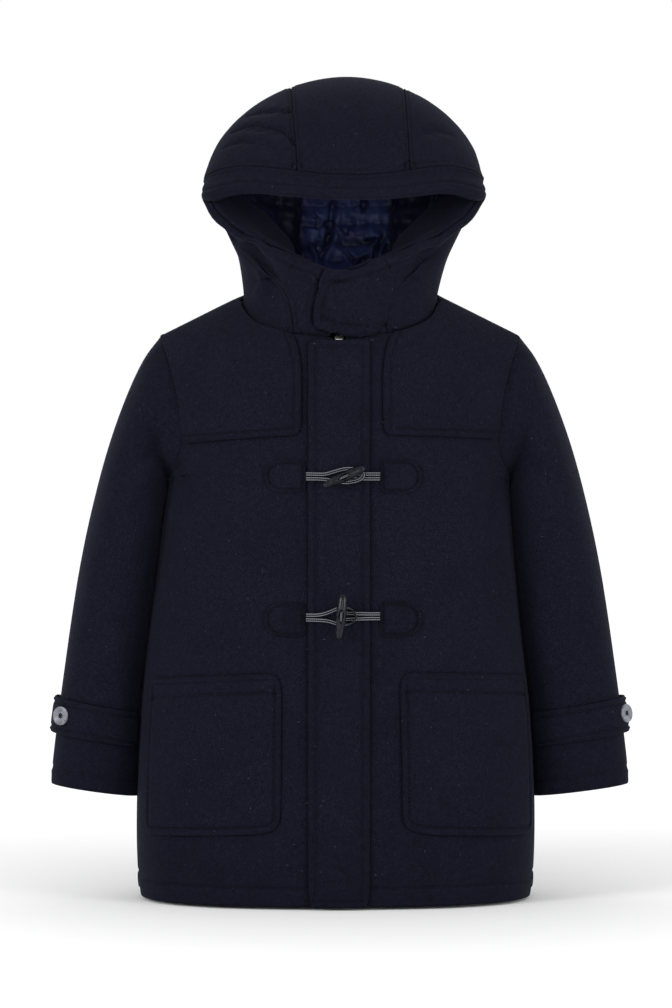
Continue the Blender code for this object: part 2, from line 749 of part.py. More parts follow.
def fold_depth(points):
    """How deep the folds press a point of the hood in."""
    depth = np.zeros(points.shape[:-1])
    near = points[..., 1] < 45
    for _, x0, z0, x1, z1, reach, deep in HOOD_FOLDS.rows:
        line = np.array([x1 - x0, z1 - z0])
        offset = points[..., [0, 2]] - np.array([x0, z0])
        share = np.clip(offset @ line / (line @ line), 0, 1)
        away = np.linalg.norm(offset - share[..., None] * line, axis=-1)
        end = np.sin(math.pi * np.clip(0.1 + 0.8 * share, 0, 1))
        depth += deep * end * np.exp(-((away / reach) ** 2)) * near
    return depth


def hood_surface():
    """The hood's outer face: for each side, columns from the throat to the top centre, finely divided
    from the neck (first row) to the face opening (last row)."""
    rings = np.linspace(0, HOOD_RINGS, 65)
    right = hood_meridians(RIGHT, rings)
    left = hood_meridians(LEFT, rings)
    whole = np.concatenate([right, left[:, -2:0:-1]], axis=1)
    whole = moved_out(whole, -fold_depth(whole), tube=True)
    right = whole[:, : HALF_COLUMNS + 1]
    left = np.concatenate([whole[:, :1], whole[:, : HALF_COLUMNS - 1: -1]], axis=1)
    return {RIGHT: right, LEFT: left}


# ---------------------------------------------------------------- pieces of the hood


def measured_hood():
    """The hood's outer face with each column divided evenly by length."""
    surface = hood_surface()
    even = np.linspace(0, 1, 97)
    return {
        side: np.stack([along(grid[:, c], even) for c in range(grid.shape[1])], axis=1)
        for side, grid in surface.items()
    }


def on_hood(hood, side, places):
    """Points of the hood at places given as (column, share of the column's length). A column below 0
    lies beyond the zip line, on the other side."""
    places = np.asarray(places, dtype=float)
    column = np.abs(places[..., 0])
    row = np.clip(places[..., 1], 0, 1) * 96
    low_row = np.minimum(row.astype(int), 95)
    low_column = np.minimum(column.astype(int), HALF_COLUMNS - 1)
    up = (row - low_row)[..., None]
    out = (column - low_column)[..., None]

    def read(grid):
        low = grid[low_row, low_column] * (1 - out) + grid[low_row, low_column + 1] * out
        high = grid[low_row + 1, low_column] * (1 - out) + grid[low_row + 1, low_column + 1] * out
        return low * (1 - up) + high * up

    beyond = (places[..., 0] < 0)[..., None]
    return np.where(beyond, read(hood[-side]), read(hood[side]))


def column_lengths(hood, side):
    """The length of each column from the neck to the face opening."""
    return np.array([lengths_along(hood[side][:, c])[-1] for c in range(HALF_COLUMNS + 1)])


def place_at(hood, side, x, height):
    """The place on the front of the hood that is seen at x and a height."""
    column, share = np.meshgrid(np.linspace(0, 12.5, 251), np.linspace(0, 1, 201))
    points = on_hood(hood, side, np.stack([column, share], axis=-1))
    miss = np.hypot(points[..., 0] - side * x, points[..., 2] - height)
    miss = np.where(points[..., 1] < -38, miss, np.inf)
    at = np.unravel_index(np.argmin(miss), miss.shape)
    return np.array([column[at], share[at]])


def band_course(hood, side):
    """Places along the band's seam on one side, from the zip line to the top centre, and the places
    at which the band meets the face opening across from them."""
    height, across, rim_column = BAND_SEAM.rows.T
    front = np.array([place_at(hood, side, x, z) for x, z in zip(across, height)])
    front[0, 1] = 0.0
    upright = edged(PANEL_ROWS) * SEAM_BEND / (len(front) - 1)
    level = np.linspace(SEAM_BEND, len(front) - 1, LEVEL_STATIONS) / (len(front) - 1)
    steps = np.concatenate([upright, level[1:]])
    front = between(front, steps)
    rim_front = between(np.stack([rim_column, np.ones(len(rim_column))], axis=-1), steps)
    first = front[:1] * np.array([[0.12, 0.0], [0.5, 0.0]])
    length = column_lengths(hood, side)
    columns = np.concatenate([[10.6, 11.3], np.arange(12, HALF_COLUMNS + 1)])
    width = BAND_SIDE - (BAND_SIDE - BAND_TOP) * np.clip((columns - 11) / (HALF_COLUMNS - 11), 0, 1)
    rest = np.stack([columns, 1 - width / np.interp(columns, np.arange(HALF_COLUMNS + 1), length)], -1)
    rest[0, 0] -= 1.2
    seam = np.concatenate([first, front, rest])
    rim_columns = np.concatenate([[0.1, 0.3], rim_front[:, 0], columns])
    rim = np.stack([rim_columns, np.ones(len(rim_columns))], axis=-1)
    return seam, rim


def temple(hood, side):
    """The point at which the band's seam turns forward."""
    seam, _ = band_course(hood, side)
    return on_hood(hood, side, seam[PANEL_ROWS + LEVEL_STATIONS + 3])


def between(places, shares):
    """Places at shares of the way along a line of places, counted by its steps."""
    wanted = np.asarray(shares) * (len(places) - 1)
    step = np.arange(len(places))
    return np.stack([np.interp(wanted, step, places[:, axis]) for axis in range(2)], axis=-1)


def edged(count, share=0.2):
    """Even shares from 0 to 1, with a narrow first and last step."""
    even = np.linspace(0, 1, count)
    narrow = share / (count - 1)
    return np.sort(np.concatenate([even, [narrow, 1 - narrow]]))


def patch_between(bottom, top, left, right, out, up):
    """Places in a four-sided patch, from the lines of places along its edges, at shares across (out)
    and upwards (up)."""
    low, high = between(bottom, out)[None], between(top, out)[None]
    first, last = between(left, up)[:, None], between(right, up)[:, None]
    out = out[None, :, None]
    up = up[:, None, None]
    corners = (1 - up) * ((1 - out) * bottom[0] + out * bottom[-1])
    corners = corners + up * ((1 - out) * top[0] + out * top[-1])
    return (1 - out) * first + out * last + (1 - up) * low + up * high - corners


PANEL_ROWS = 12
SEAM_BEND = 3
LEVEL_STATIONS = 6
PANEL_SEAM = LOWER_COLUMNS + UPPER_COLUMNS


def corner_gap(line, *corners):
    """The gap along a line of points on the band's seam, wider where the seam turns at the temple."""
    near = min_distance(line, corners)
    return (HOOD_GAP + CORNER_GAP * np.exp(-((near / 30) ** 2)))[:, None]


def min_distance(line, corners):
    """The distance of each point of a line from the nearest of some corners."""
    return np.min([np.linalg.norm(line - corner, axis=-1) for corner in corners], axis=0)


def make_hood_sides(coat, hood):
    """The hood's side panels, from the neck to the band and back to the centre panel."""
    for side, name in ((LEFT, "hood_side_left"), (RIGHT, "hood_side_right")):
        seam, _ = band_course(hood, side)
        corner = 3 + PANEL_ROWS
        last = int(np.argmax(seam[:, 0] >= PANEL_SEAM))
        left = seam[2: corner + 1]
        top = between(seam[corner: last + 1], edged(last + 1 - corner))
        right = np.array([[PANEL_SEAM, 0.0], top[-1]])
        right = between(right, edged(PANEL_ROWS))
        bottom = between(np.array([seam[2], right[0]]), edged(last + 1 - corner))
        grid_shares = np.linspace(0, 1, len(top)), np.linspace(0, 1, len(left))
        places = patch_between(bottom, top, left, right, *grid_shares)
        grid = on_hood(hood, side, places)
        if side == LEFT:
            grid = grid[:, ::-1]
        grid = trimmed(grid, NECK_GAP, left=False, right=False, top=False)
        gap = corner_gap(grid[-1], temple(hood, side))
        grid = trimmed(grid, gap, left=False, right=False, bottom=False)
        grid = trimmed(grid, 2 * HOOD_GAP, bottom=False, top=False)
        add_cloth(name, grid, HOOD_WALL, "wool", coat)


def make_hood_centre(coat, hood):
    """The long centre panel, from the nape over the head to the band."""
    halves = []
    up = edged(PANEL_ROWS)[:, None]
    columns = np.array([0, 0.15, 1, 2, 3]) + PANEL_SEAM
    for side in (RIGHT, LEFT):
        seam, _ = band_course(hood, side)
        last = np.interp(columns, seam[-SEAM_COLUMNS - 1:, 0], seam[-SEAM_COLUMNS - 1:, 1])
        places = np.stack([np.repeat(columns[None, :], len(up), axis=0), up * last[None, :]], axis=-1)
        halves.append(on_hood(hood, side, places))
    grid = np.concatenate([halves[0], halves[1][:, -2::-1]], axis=1)
    grid = trimmed(trimmed(grid, HOOD_GAP, bottom=False), NECK_GAP, left=False, right=False, top=False)
    add_cloth("hood_centre", grid, HOOD_WALL, "wool", coat)


# The end of the band that runs on past the zip as the throat tab, from its free end: for each place
# across the tab, x at the lower edge and its height, x at the upper edge and its height
TAB_COLUMNS = 14
TAB_STATIONS = (
    (-25.5, -26.0, -13.0, 20.0),
    (-22.5, -31.5, -10.5, 20.5),
    (-17.0, -34.5, -7.0, 20.5),
    (-8.0, -36.8, -3.0, 20.0),
)


BAND_SHARES = np.array([0, 0.08, 0.5, 0.9, 1.0])


def make_band(coat, hood):
    """The band round the face opening. Its right end runs on over the left one as the throat tab."""
    halves = []
    for side in (RIGHT, LEFT):
        seam, rim = band_course(hood, side)
        up = BAND_SHARES[:, None, None]
        keep = np.r_[0:3, 3: PANEL_ROWS + 3: 2, PANEL_ROWS + 2: len(seam)]
        seam, rim = seam[keep], rim[keep]
        halves.append((side, (1 - up) * seam[None] + up * rim[None]))
    tab = []
    for low_x, low_z, high_x, high_z in TAB_STATIONS:
        low = place_at(hood, LEFT, -low_x, low_z) * [-1, 1]
        high = place_at(hood, LEFT, -high_x, high_z) * [-1, 1]
        high[1] = 1.0
        tab.append(low + (high - low) * BAND_SHARES[:, None])
    right_places = np.concatenate([np.stack(tab, axis=1), halves[0][1]], axis=1)
    right = on_hood(hood, RIGHT, right_places)
    left_places = halves[1][1][:, :-1]
    left_places[:, 0, 0] = 0.55
    left = on_hood(hood, LEFT, left_places)
    grid = np.concatenate([right, left[:, ::-1]], axis=1)
    lap = np.zeros(grid.shape[:2])
    away = np.clip((grid[:, :TAB_COLUMNS, 0] - 22) / 24, 0, 1)
    lap[:, :TAB_COLUMNS] = TAB_LAP * (1 - away**2 * (3 - 2 * away))
    grid = moved_out(grid, lap)
    gap = corner_gap(grid[0], temple(hood, RIGHT), temple(hood, LEFT))
    grid = trimmed(grid, gap, left=False, right=False, top=False)
    add_cloth("hood_band", grid, HOOD_WALL, "wool", coat)


def inside_hood(hood, distance):
    """The hood's face moved in by a distance."""
    whole = np.concatenate([hood[RIGHT], hood[LEFT][:, -2:0:-1]], axis=1)
    whole = moved_out(whole, np.full(whole.shape[:2], -distance), tube=True)
    left = np.concatenate([whole[:, :1], whole[:, : HALF_COLUMNS - 1: -1]], axis=1)
    return {RIGHT: whole[:, : HALF_COLUMNS + 1], LEFT: left}


def facing_course(hood, side):
    """Where the facing ends inside the hood, as a share of each column's length."""
    length = column_lengths(hood, side)
    column = np.arange(HALF_COLUMNS + 1)
    depth = FACING_DEPTH + np.maximum(0, length - FACING_DEPTH - 3) * np.clip(1 - column / 4, 0, 1)
    return 1 - np.minimum(depth, length - 3) / length


def make_facing(coat, hood):
    """The facing that lines the hood's edge."""
    inner = inside_hood(hood, HOOD_WALL + FACING_GAP)
    edge = inside_hood(hood, HOOD_WALL + RIM_GAP)
    halves = []
    for side in (RIGHT, LEFT):
        first = facing_course(hood, side)
        up = np.linspace(0, 1, 4)[:, None]
        column = np.arange(HALF_COLUMNS + 1, dtype=float)
        column[0] = 0.5
        share = first + (0.995 - first) * up
        places = np.stack([np.repeat(column[None, :], len(up), axis=0), share], axis=-1)
        grid = on_hood(inner, side, places)
        grid[-1] = on_hood(edge, side, places[-1])
        halves.append(grid)
    grid = np.concatenate([halves[0], halves[1][:, -2::-1]], axis=1)
    add_cloth("hood_facing", grid, FACING_WALL, "wool", coat)


LINING_COLUMNS = [3, 5, 7, 9, 10, 11, 12, 13, 15, 17, 19, 21, 23]


def make_lining(coat, hood):
    """The quilted lining inside the hood, from the neck to the facing."""
    inner = inside_hood(hood, HOOD_WALL + LINING_GAP)
    halves = []
    for side in (RIGHT, LEFT):
        last = facing_course(hood, side)
        column = np.array(LINING_COLUMNS)
        up = np.linspace(0, 1, 12)[:, None]
        last = (last - LAYER_GAP / column_lengths(hood, side))[column]
        share = 0.012 + (last - 0.012) * up
        places = np.stack([np.repeat(column[None, :], len(up), axis=0), share], axis=-1)
        halves.append(on_hood(inner, side, places))
    grid = np.concatenate([halves[0], halves[1][:, -2::-1]], axis=1)
    add_cloth("hood_lining", grid, LINING_WALL, "lining", coat)


# ---------------------------------------------------------------- cuff straps and buttons

STRAP_RINGS = (7.33, 7.56, 7.79, 8.02)
STRAP_SHARES = (-0.075, -0.05, -0.01, 0.03, 0.08, 0.13, 0.18, 0.23, 0.28, 0.33, 0.38, 0.42)
BUTTON_RADIUS = 9.5
BUTTONS = (
    # side, how far round the cuff from its outer point, as a share
    (LEFT, 0.115),
    (RIGHT, 0.055),
)


def strap_grid(side, rings, shares):
    """Points of a cuff strap's outer face. It stands off most at the cuff's outer side."""
    shares = np.asarray(shares)
    sleeve = sleeve_points(side, rings, shares % 1.0)
    off = 1.4 + 2.8 * np.exp(-((np.maximum(shares - 0.02, 0) / 0.09) ** 2))
    centre = sleeve_points(side, rings, np.linspace(0, 1, 9)[:-1]).mean(axis=1, keepdims=True)
    way = sleeve - centre
    way = way / np.linalg.norm(way, axis=-1, keepdims=True)
    return sleeve + way * (off + TRIM_WALL)[None, :, None]


def make_straps(coat):
    """Straps round the front of the cuffs, each held by a sewn button."""
    for side, share in BUTTONS:
        tail = "left" if side == LEFT else "right"
        grid = strap_grid(side, STRAP_RINGS, STRAP_SHARES)[::-1]
        if side == RIGHT:
            grid = grid[:, ::-1]
        add_cloth("cuff_strap_" + tail, grid, TRIM_WALL, "wool", coat)
        near = strap_grid(side, (7.45, 7.66, 7.87), (share - 0.02, share, share + 0.02))[::-1]
        if side == RIGHT:
            near = near[:, ::-1]
        place = near[1, 1]
        normal = outward(near)[1, 1]
        make_button(coat, "cuff_button_" + tail, place + normal * 0.9, normal)


def make_button(coat, name, place, normal):
    """A four-hole button with a raised rim, its back at a place, facing along normal."""
    profile = [(7.2, 0.0), (BUTTON_RADIUS, 1.3), (9.1, 2.8), (8.0, 3.2), (5.6, 1.9)]
    obj = turned(name, profile, "button", coat, 16)
    holes = bmesh.new()
    for turn in range(4):
        angle = QUARTER * turn
        at = Matrix.Translation((2.1 * MM * math.cos(angle), 2.1 * MM * math.sin(angle), 1.2 * MM))
        bmesh.ops.create_cone(holes, cap_ends=True, segments=6, radius1=0.95 * MM, radius2=0.95 * MM,
                              depth=8 * MM, matrix=at)
    cut(obj, holes, name + "_holes")
    quaternion = Vector(normal).to_track_quat("Z", "Y")
    obj.matrix_world = Matrix.Translation(Vector(place) * MM) @ quaternion.to_matrix().to_4x4()


def turned(name, profile, finish, collection, segments):
    """A solid of revolution about Z from (radius, height) pairs that run up its outer side."""
    mesh = bpy.data.meshes.new(name)
    points = [(radius * MM, 0.0, height * MM) for radius, height in profile]
    points = [(0.0, 0.0, profile[0][1] * MM)] + points + [(0.0, 0.0, profile[-1][1] * MM)]
    mesh.from_pydata(points, [(i, i + 1) for i in range(len(points) - 1)], [])
    obj = add_object(name, mesh, finish, collection)
    screw = obj.modifiers.new("turn", "SCREW")
    screw.steps = segments
    screw.render_steps = segments
    screw.use_merge_vertices = True
    screw.merge_threshold = 0.00001
    screw.use_normal_calculate = True
    return obj


def cut(obj, shape, name):
    """Cut a shape out of an object."""
    mesh = bpy.data.meshes.new(name)
    shape.to_mesh(mesh)
    shape.free()
    cutter = bpy.data.objects.new(name, mesh)
    cutters.objects.link(cutter)
    cutter.hide_render = True
    cutter.display_type = "WIRE"
    cutter.parent = obj
    boolean = obj.modifiers.new(name, "BOOLEAN")
    boolean.operation = "DIFFERENCE"
    boolean.solver = "EXACT"
    boolean.object = cutter


# ---------------------------------------------------------------- toggles and their cords

TOGGLE_LIFT = 15.0
CORD_SECTION = ((1, 0), (0.75, 0.85), (0, 1), (-0.75, 0.85), (-1, 0), (-0.75, -0.85), (0, -1), (0.75, -0.85))
TOGGLE_PROFILE = (
    # radius, distance from the thin end
    (1.6, 0.0), (2.6, 0.9), (3.1, 3.0), (3.7, 8.0), (4.5, 15.0), (4.9, 22.0), (4.8, 30.0), (4.4, 37.0),
    (3.6, 41.5), (2.0, 43.6),
)
TOGGLE_LENGTH = 43.6
TOGGLES = (
    # name, x and height of the middle, way from the thin end to the thick end
    ("toggle_upper", 3.7, -178.0, (38.6, 17.4)),
    ("toggle_lower", 0.9, -312.5, (4.3, 44.3)),
)
HOLE_STEP = 4.2
HOLE_RADIUS = 1.75


def front_line(x, height, lift):
    """Points over the front at x and a height, lifted off it by some distance."""
    points = front_at(np.asarray(x, dtype=float), np.asarray(height, dtype=float))
    points[..., 1] -= lift
    return points


def make_toggles(coat):
    """Horn-shaped toggles with a hollow for the cord and two holes through it."""
    for name, x, height, way in TOGGLES:
        obj = turned(name, TOGGLE_PROFILE, "horn", coat, 16)
        middle = TOGGLE_LENGTH / 2
        hollow = bmesh.new()
        shape = Matrix.Translation((0, -5.9 * MM, middle * MM)) @ Matrix.Diagonal((3.3, 3.8, 8.2, 1))
        bmesh.ops.create_uvsphere(hollow, u_segments=12, v_segments=8, radius=MM, matrix=shape)
        cut(obj, hollow, name + "_hollow")
        holes = bmesh.new()
        for step in (-HOLE_STEP, HOLE_STEP):
            at = Matrix.Translation((0, 0, (middle + step) * MM)) @ Matrix.Rotation(QUARTER, 4, "X")
            bmesh.ops.create_cone(holes, cap_ends=True, segments=8, radius1=HOLE_RADIUS * MM,
                                  radius2=HOLE_RADIUS * MM, depth=14 * MM, matrix=at)
        cut(obj, holes, name + "_holes")
        along_z = Vector((way[0], 0, way[1])).normalized()
        across = Vector((0, 1, 0)).cross(along_z)
        turn = Matrix((across, (0, 1, 0), along_z)).transposed().to_4x4()
        place = Vector(front_line(x, height, TOGGLE_LIFT)) * MM
        obj.matrix_world = Matrix.Translation(place) @ turn @ Matrix.Translation((0, 0, -middle * MM))


# The two loops, from one end under the patch to the other: lift is the distance of the braid's middle
# from the front, edge is how far its flat side has turned towards the closed end (1 is on edge)
LOOPS = {
    "loop_upper": Sections(
        "step x height lift edge",
        [
            (0, -32.5, -175.0, 3.4, 0),
            (1, -30.6, -175.0, 4.9, 0),
            (2, -22, -174.6, 4.9, 0),
            (3, -8, -171.6, 4.9, 0),
            (4, 4, -168.6, 5.1, 0),
            (5, 14, -168.4, 6.7, 0),
            (6, 20.5, -171.4, 7.0, 0),
            (7, 22, -176.5, 7.0, 0),
            (8, 18.5, -182.6, 7.0, 0),
            (9, 9, -186.8, 5.4, 0),
            (10, -3, -185.6, 4.9, 0),
            (11, -18, -181.2, 4.9, 0),
            (12, -30.6, -179.7, 4.9, 0),
            (13, -32.5, -179.7, 3.4, 0),
        ],
    ),
    "loop_lower": Sections(
        "step x height lift edge",
        [
            (0, -32.5, -311.3, 3.4, 0),
            (1, -30.6, -311.3, 4.9, 0),
            (2, -22, -310.6, 4.9, 0),
            (3, -10, -306.2, 4.9, 0),
            (4, 0, -303.0, 4.9, 0.1),
            (5, 9, -303.0, 6.3, 0.6),
            (6, 15.5, -306.8, 8.4, 1),
            (7, 18.4, -312.5, 8.6, 1),
            (8, 15.5, -318.2, 8.4, 1),
            (9, 9, -322.0, 6.3, 0.6),
            (10, 0, -322.0, 4.9, 0.1),
            (11, -10, -319.4, 4.9, 0),
            (12, -22, -316.4, 4.9, 0),
            (13, -30.6, -315.9, 4.9, 0),
            (14, -32.5, -315.9, 3.4, 0),
        ],
    ),
}
LOOP_WIDTH = 4.2
CORD_THICK = 1.5


def sweep(name, line, across, width, thick, finish, collection):
    """A flat braid along a line of points. across holds the way its width lies at each point."""
    tangent = np.gradient(line, axis=0)
    tangent = tangent / np.linalg.norm(tangent, axis=1, keepdims=True)
    across = across - (across * tangent).sum(axis=1, keepdims=True) * tangent
    across = across / np.linalg.norm(across, axis=1, keepdims=True)
    up = np.cross(tangent, across)
    sides = len(CORD_SECTION)
    points = np.concatenate(
        [
            line + across * (x * np.asarray(width) / 2)[:, None] + up * (y * thick / 2)
            for x, y in CORD_SECTION
        ],
        axis=1,
    ).reshape(-1, 3)
    faces = [tuple(reversed(range(sides))), tuple((len(line) - 1) * sides + i for i in range(sides))]
    for row in range(len(line) - 1):
        for i in range(sides):
            low, high = row * sides, (row + 1) * sides
            faces.append((low + i, low + (i + 1) % sides, high + (i + 1) % sides, high + i))
    mesh = bpy.data.meshes.new(name)
    mesh.from_pydata((points * MM).tolist(), [], faces)
    return add_object(name, mesh, finish, collection)


def make_loops(coat):
    """The frog loops: flat braid from the left patches round behind the toggles."""
    for name, table in LOOPS.items():
        steps = np.linspace(0, len(table.rows) - 1, 22)
        line = front_line(table.read(steps, "x"), table.read(steps, "height"), table.read(steps, "lift"))
        tangent = np.gradient(line, axis=0)
        out = np.array([0.0, -1.0, 0.0])
        flat = np.cross(tangent, out)
        flat = flat / np.linalg.norm(flat, axis=1, keepdims=True)
        edge = table.read(steps, "edge")[:, None] * QUARTER
        across = flat * np.cos(edge) + out * np.sin(edge)
        sweep(name, line, across, np.full(len(line), LOOP_WIDTH), CORD_THICK, "braid", coat)


CORD_APART = 2.3
CORD_ENDS = {"toggle_upper": -177.4, "toggle_lower": -312.4}
BRIDGE_SHARE = 0.72


def make_toggle_cords(coat):
    """The toggles' own cords: from the right patch through one hole and back through the other."""
    for name, x, height, way in TOGGLES:
        way = np.array(way) / np.linalg.norm(way)
        strands = []
        for turn in (1, -1):
            hole_x, hole_z = np.array([x, height]) + turn * way * HOLE_STEP
            z = CORD_ENDS[name] + turn * CORD_APART
            # x, height, lift off the front, and width, which narrows into the hole
            strands.append([
                (38.1, z, 3.2, 4.2),
                (36.2, z, 4.9, 4.2),
                (28, z, 4.9, 4.2),
                (hole_x + 8, z + (hole_z - z) * 0.3, 4.9, 4.0),
                (hole_x + 3.4, hole_z + (z - hole_z) * 0.2, 5.2, 3.2),
                (hole_x + 0.9, hole_z, 6.8, 2.4),
                (hole_x, hole_z, 9.0, 2.1),
                (hole_x, hole_z, 13.0, 2.1),
                (hole_x, hole_z, 17.2, 2.1),
            ])
        step = way * HOLE_STEP * BRIDGE_SHARE
        bridge = [
            (x + step[0], height + step[1], 18.7, 2.1),
            (x, height, 18.9, 2.3),
            (x - step[0], height - step[1], 18.7, 2.1),
        ]
        places = np.array(strands[0] + bridge + strands[1][::-1])
        line = front_line(places[:, 0], places[:, 1], places[:, 2])
        upright = way[1] > way[0]
        across = np.tile([0.0, 0.0, 1.0], (len(line), 1))
        across[5:-5] = (1.0, 0.0, 0.0) if upright else (-way[1], 0.0, way[0])
        sweep("toggle_cord" + name[6:], line, across, places[:, 3], CORD_THICK, "braid", coat)


# ---------------------------------------------------------------- zip

TAPE_WIDTH = 28.0
TAPE_WALL = 0.8
SLIDER_SIZE = (8.7, 1.9, 11.5)
SLIDER_TOP = -39.6
PULL_SIZE = (6.5, 0.8, 20.0)


def make_zip(coat):
    """The closed zip behind the fronts' edges, and its slider and pull at the top."""
    heights = [HEM + 8, -560, -500, -440, -380, -320, -260, -220, -185, -160, -140, -122, -106, -92, -80,
               -70, -62, -54, -48, -43.5]
    x = ZIP_X + np.linspace(-0.5, 0.5, 4) * TAPE_WIDTH
    x, height = np.meshgrid(x, heights)
    grid = front_at(x, height)
    grid = moved_out(grid, np.full(grid.shape[:2], -(BODY_WALL + TAPE_GAP)))
    add_cloth("zip_tape", grid, TAPE_WALL, "tape", coat)
    for name, size, top, lift in (
        ("zip_slider", SLIDER_SIZE, SLIDER_TOP, -2.6),
        ("zip_pull", PULL_SIZE, SLIDER_TOP - 3.2, -0.35),
    ):
        middle = top - size[2] / 2
        block = bmesh.new()
        bmesh.ops.create_cube(block, size=1.0)
        bmesh.ops.scale(block, vec=[value * MM for value in size], verts=block.verts)
        mesh = bpy.data.meshes.new(name)
        block.to_mesh(mesh)
        block.free()
        obj = add_object(name, mesh, "nickel", coat)
        bevel = obj.modifiers.new("rounded", "BEVEL")
        bevel.width = min(size) * 0.3 * MM
        bevel.segments = 1
        ends = front_at(np.array([ZIP_X, ZIP_X]), np.array([top, top - size[2]]))
        lean = math.atan2(ends[0, 1] - ends[1, 1], ends[0, 2] - ends[1, 2])
        centre = ends.mean(axis=0) - np.array([0.0, lift, 0.0])
        obj.matrix_world = Matrix.Translation(Vector(centre) * MM) @ Matrix.Rotation(-lean, 4, "X")


# ---------------------------------------------------------------- build

clear_scene()
coat = make_collection("duffle_coat")
cutters = make_collection("cutters")
make_fronts(coat)
make_back(coat)
make_placket(coat)
make_pockets(coat)
make_patches(coat)
make_yokes(coat)
make_sleeves(coat)
hood = measured_hood()
make_hood_sides(coat, hood)
make_hood_centre(coat, hood)
make_band(coat, hood)
make_facing(coat, hood)
make_lining(coat, hood)
make_straps(coat)
make_toggles(coat)
make_loops(coat)
make_toggle_cords(coat)
make_zip(coat)
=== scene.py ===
"""A child's hooded wool duffle coat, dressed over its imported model.

Lengths are in millimetres and go through MM where Blender wants metres. +Z is up and -Y is the
coat's front.
"""

import math

import bmesh
import bpy
import numpy as np
from mathutils import Matrix, Vector, bvhtree, kdtree, noise


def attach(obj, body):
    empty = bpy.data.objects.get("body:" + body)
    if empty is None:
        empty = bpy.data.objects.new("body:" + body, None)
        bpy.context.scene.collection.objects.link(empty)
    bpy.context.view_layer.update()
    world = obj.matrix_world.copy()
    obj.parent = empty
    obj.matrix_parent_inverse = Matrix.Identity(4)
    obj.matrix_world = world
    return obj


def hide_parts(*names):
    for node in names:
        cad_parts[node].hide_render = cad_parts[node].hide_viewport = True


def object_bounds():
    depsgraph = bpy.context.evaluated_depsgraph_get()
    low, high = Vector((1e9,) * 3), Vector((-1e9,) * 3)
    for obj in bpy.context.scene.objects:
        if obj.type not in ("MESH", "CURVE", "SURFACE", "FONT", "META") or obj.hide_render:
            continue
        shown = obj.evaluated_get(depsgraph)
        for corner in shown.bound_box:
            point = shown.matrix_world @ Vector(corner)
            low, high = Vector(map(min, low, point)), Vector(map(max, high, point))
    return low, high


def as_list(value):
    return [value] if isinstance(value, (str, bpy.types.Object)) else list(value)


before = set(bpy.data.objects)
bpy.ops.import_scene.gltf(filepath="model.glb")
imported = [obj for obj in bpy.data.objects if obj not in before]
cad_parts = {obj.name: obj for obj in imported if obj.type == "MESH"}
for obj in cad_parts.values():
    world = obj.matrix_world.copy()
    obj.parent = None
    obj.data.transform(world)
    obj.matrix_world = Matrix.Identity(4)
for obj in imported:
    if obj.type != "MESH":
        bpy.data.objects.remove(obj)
cad_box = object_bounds()

# ---------------------------------------------------------------- studio
# A white floor that the coat's hem just clears, a white room for even light, a soft box on each side
# and a low one in front. They are stage, and no part of the coat.

MM = 0.001
HEM_BOTTOM = cad_box[0][2]
CAMERA_DISTANCE = 3.2
CAMERA_PLACE = (-0.004, -CAMERA_DISTANCE, -0.204)
FRAME_HEIGHT = 1.008
SENSOR = 24.0
FLOOR_DROP = 1.5
FLOOR_RADIUS = 30
FLOOR_NEAR, FLOOR_FAR = 0.3, 1.3  # the floor pales between these distances, in metres
CHEST = (0, 0, -0.25)


def linear(colour):
    """A hex sRGB colour as linear RGBA."""
    values = [int(colour[start : start + 2], 16) / 255 for start in (1, 3, 5)]
    return (*[v / 12.92 if v <= 0.04045 else ((v + 0.055) / 1.055) ** 2.4 for v in values], 1.0)


def add_node(tree, kind, links=(), feeds=None, **settings):
    """Adds a node. A setting named in_X sets that input. Links are (input, output), where a node stands
    for its first output, and feeds is the (node, input) that the new node's first output goes to."""
    made = tree.nodes.new("ShaderNode" + kind)
    for name, value in settings.items():
        if name.startswith("in_"):
            socket = name[3:]
            made.inputs[int(socket) if socket.isdigit() else socket.replace("_", " ")].default_value = value
        else:
            setattr(made, name, value)
    for socket, source in links:
        tree.links.new(getattr(source, "outputs", (source,))[0], made.inputs[socket])
    if feeds:
        tree.links.new(made.outputs[0], feeds[0].inputs[feeds[1]])
    return made


def new_material(name, **settings):
    """A material with one Principled shader, that shader, its node tree and the object's coordinates.
    The settings are the shader's sockets."""
    material = bpy.data.materials.new(name)
    material.use_nodes = True
    tree = material.node_tree
    shader = tree.nodes["Principled BSDF"]
    for socket, value in settings.items():
        shader.inputs[socket.replace("_", " ")].default_value = value
    return material, shader, tree, add_node(tree, "TexCoord").outputs["Object"]


paper, paper_shader, tree, place = new_material(
    "matt_white_floor", Roughness=0.9, Specular_IOR_Level=0.0, Emission_Color=linear("#ffffff")
)
away = add_node(tree, "VectorMath", [(0, place)], operation="LENGTH").outputs["Value"]
for socket, near, far in (("Emission Strength", 0.0, 0.14), ("Base Color", 0.82, 0.9)):
    add_node(
        tree, "MapRange", [("Value", away)], feeds=(paper_shader, socket), in_1=FLOOR_NEAR, in_2=FLOOR_FAR,
        in_3=near, in_4=far,
    )
bpy.ops.object.select_all(action="DESELECT")
bpy.ops.mesh.primitive_circle_add(
    vertices=96, radius=FLOOR_RADIUS, fill_type="NGON", location=(0, 0, HEM_BOTTOM - FLOOR_DROP * MM)
)
floor = bpy.context.active_object
floor.name = "floor"
floor.data.materials.append(paper)

world = bpy.data.worlds.new("white_room")
bpy.context.scene.world = world
world.use_nodes = True
room = world.node_tree.nodes["Background"]
room.inputs["Color"].default_value = linear("#ffffff")
room.inputs["Strength"].default_value = 1.0

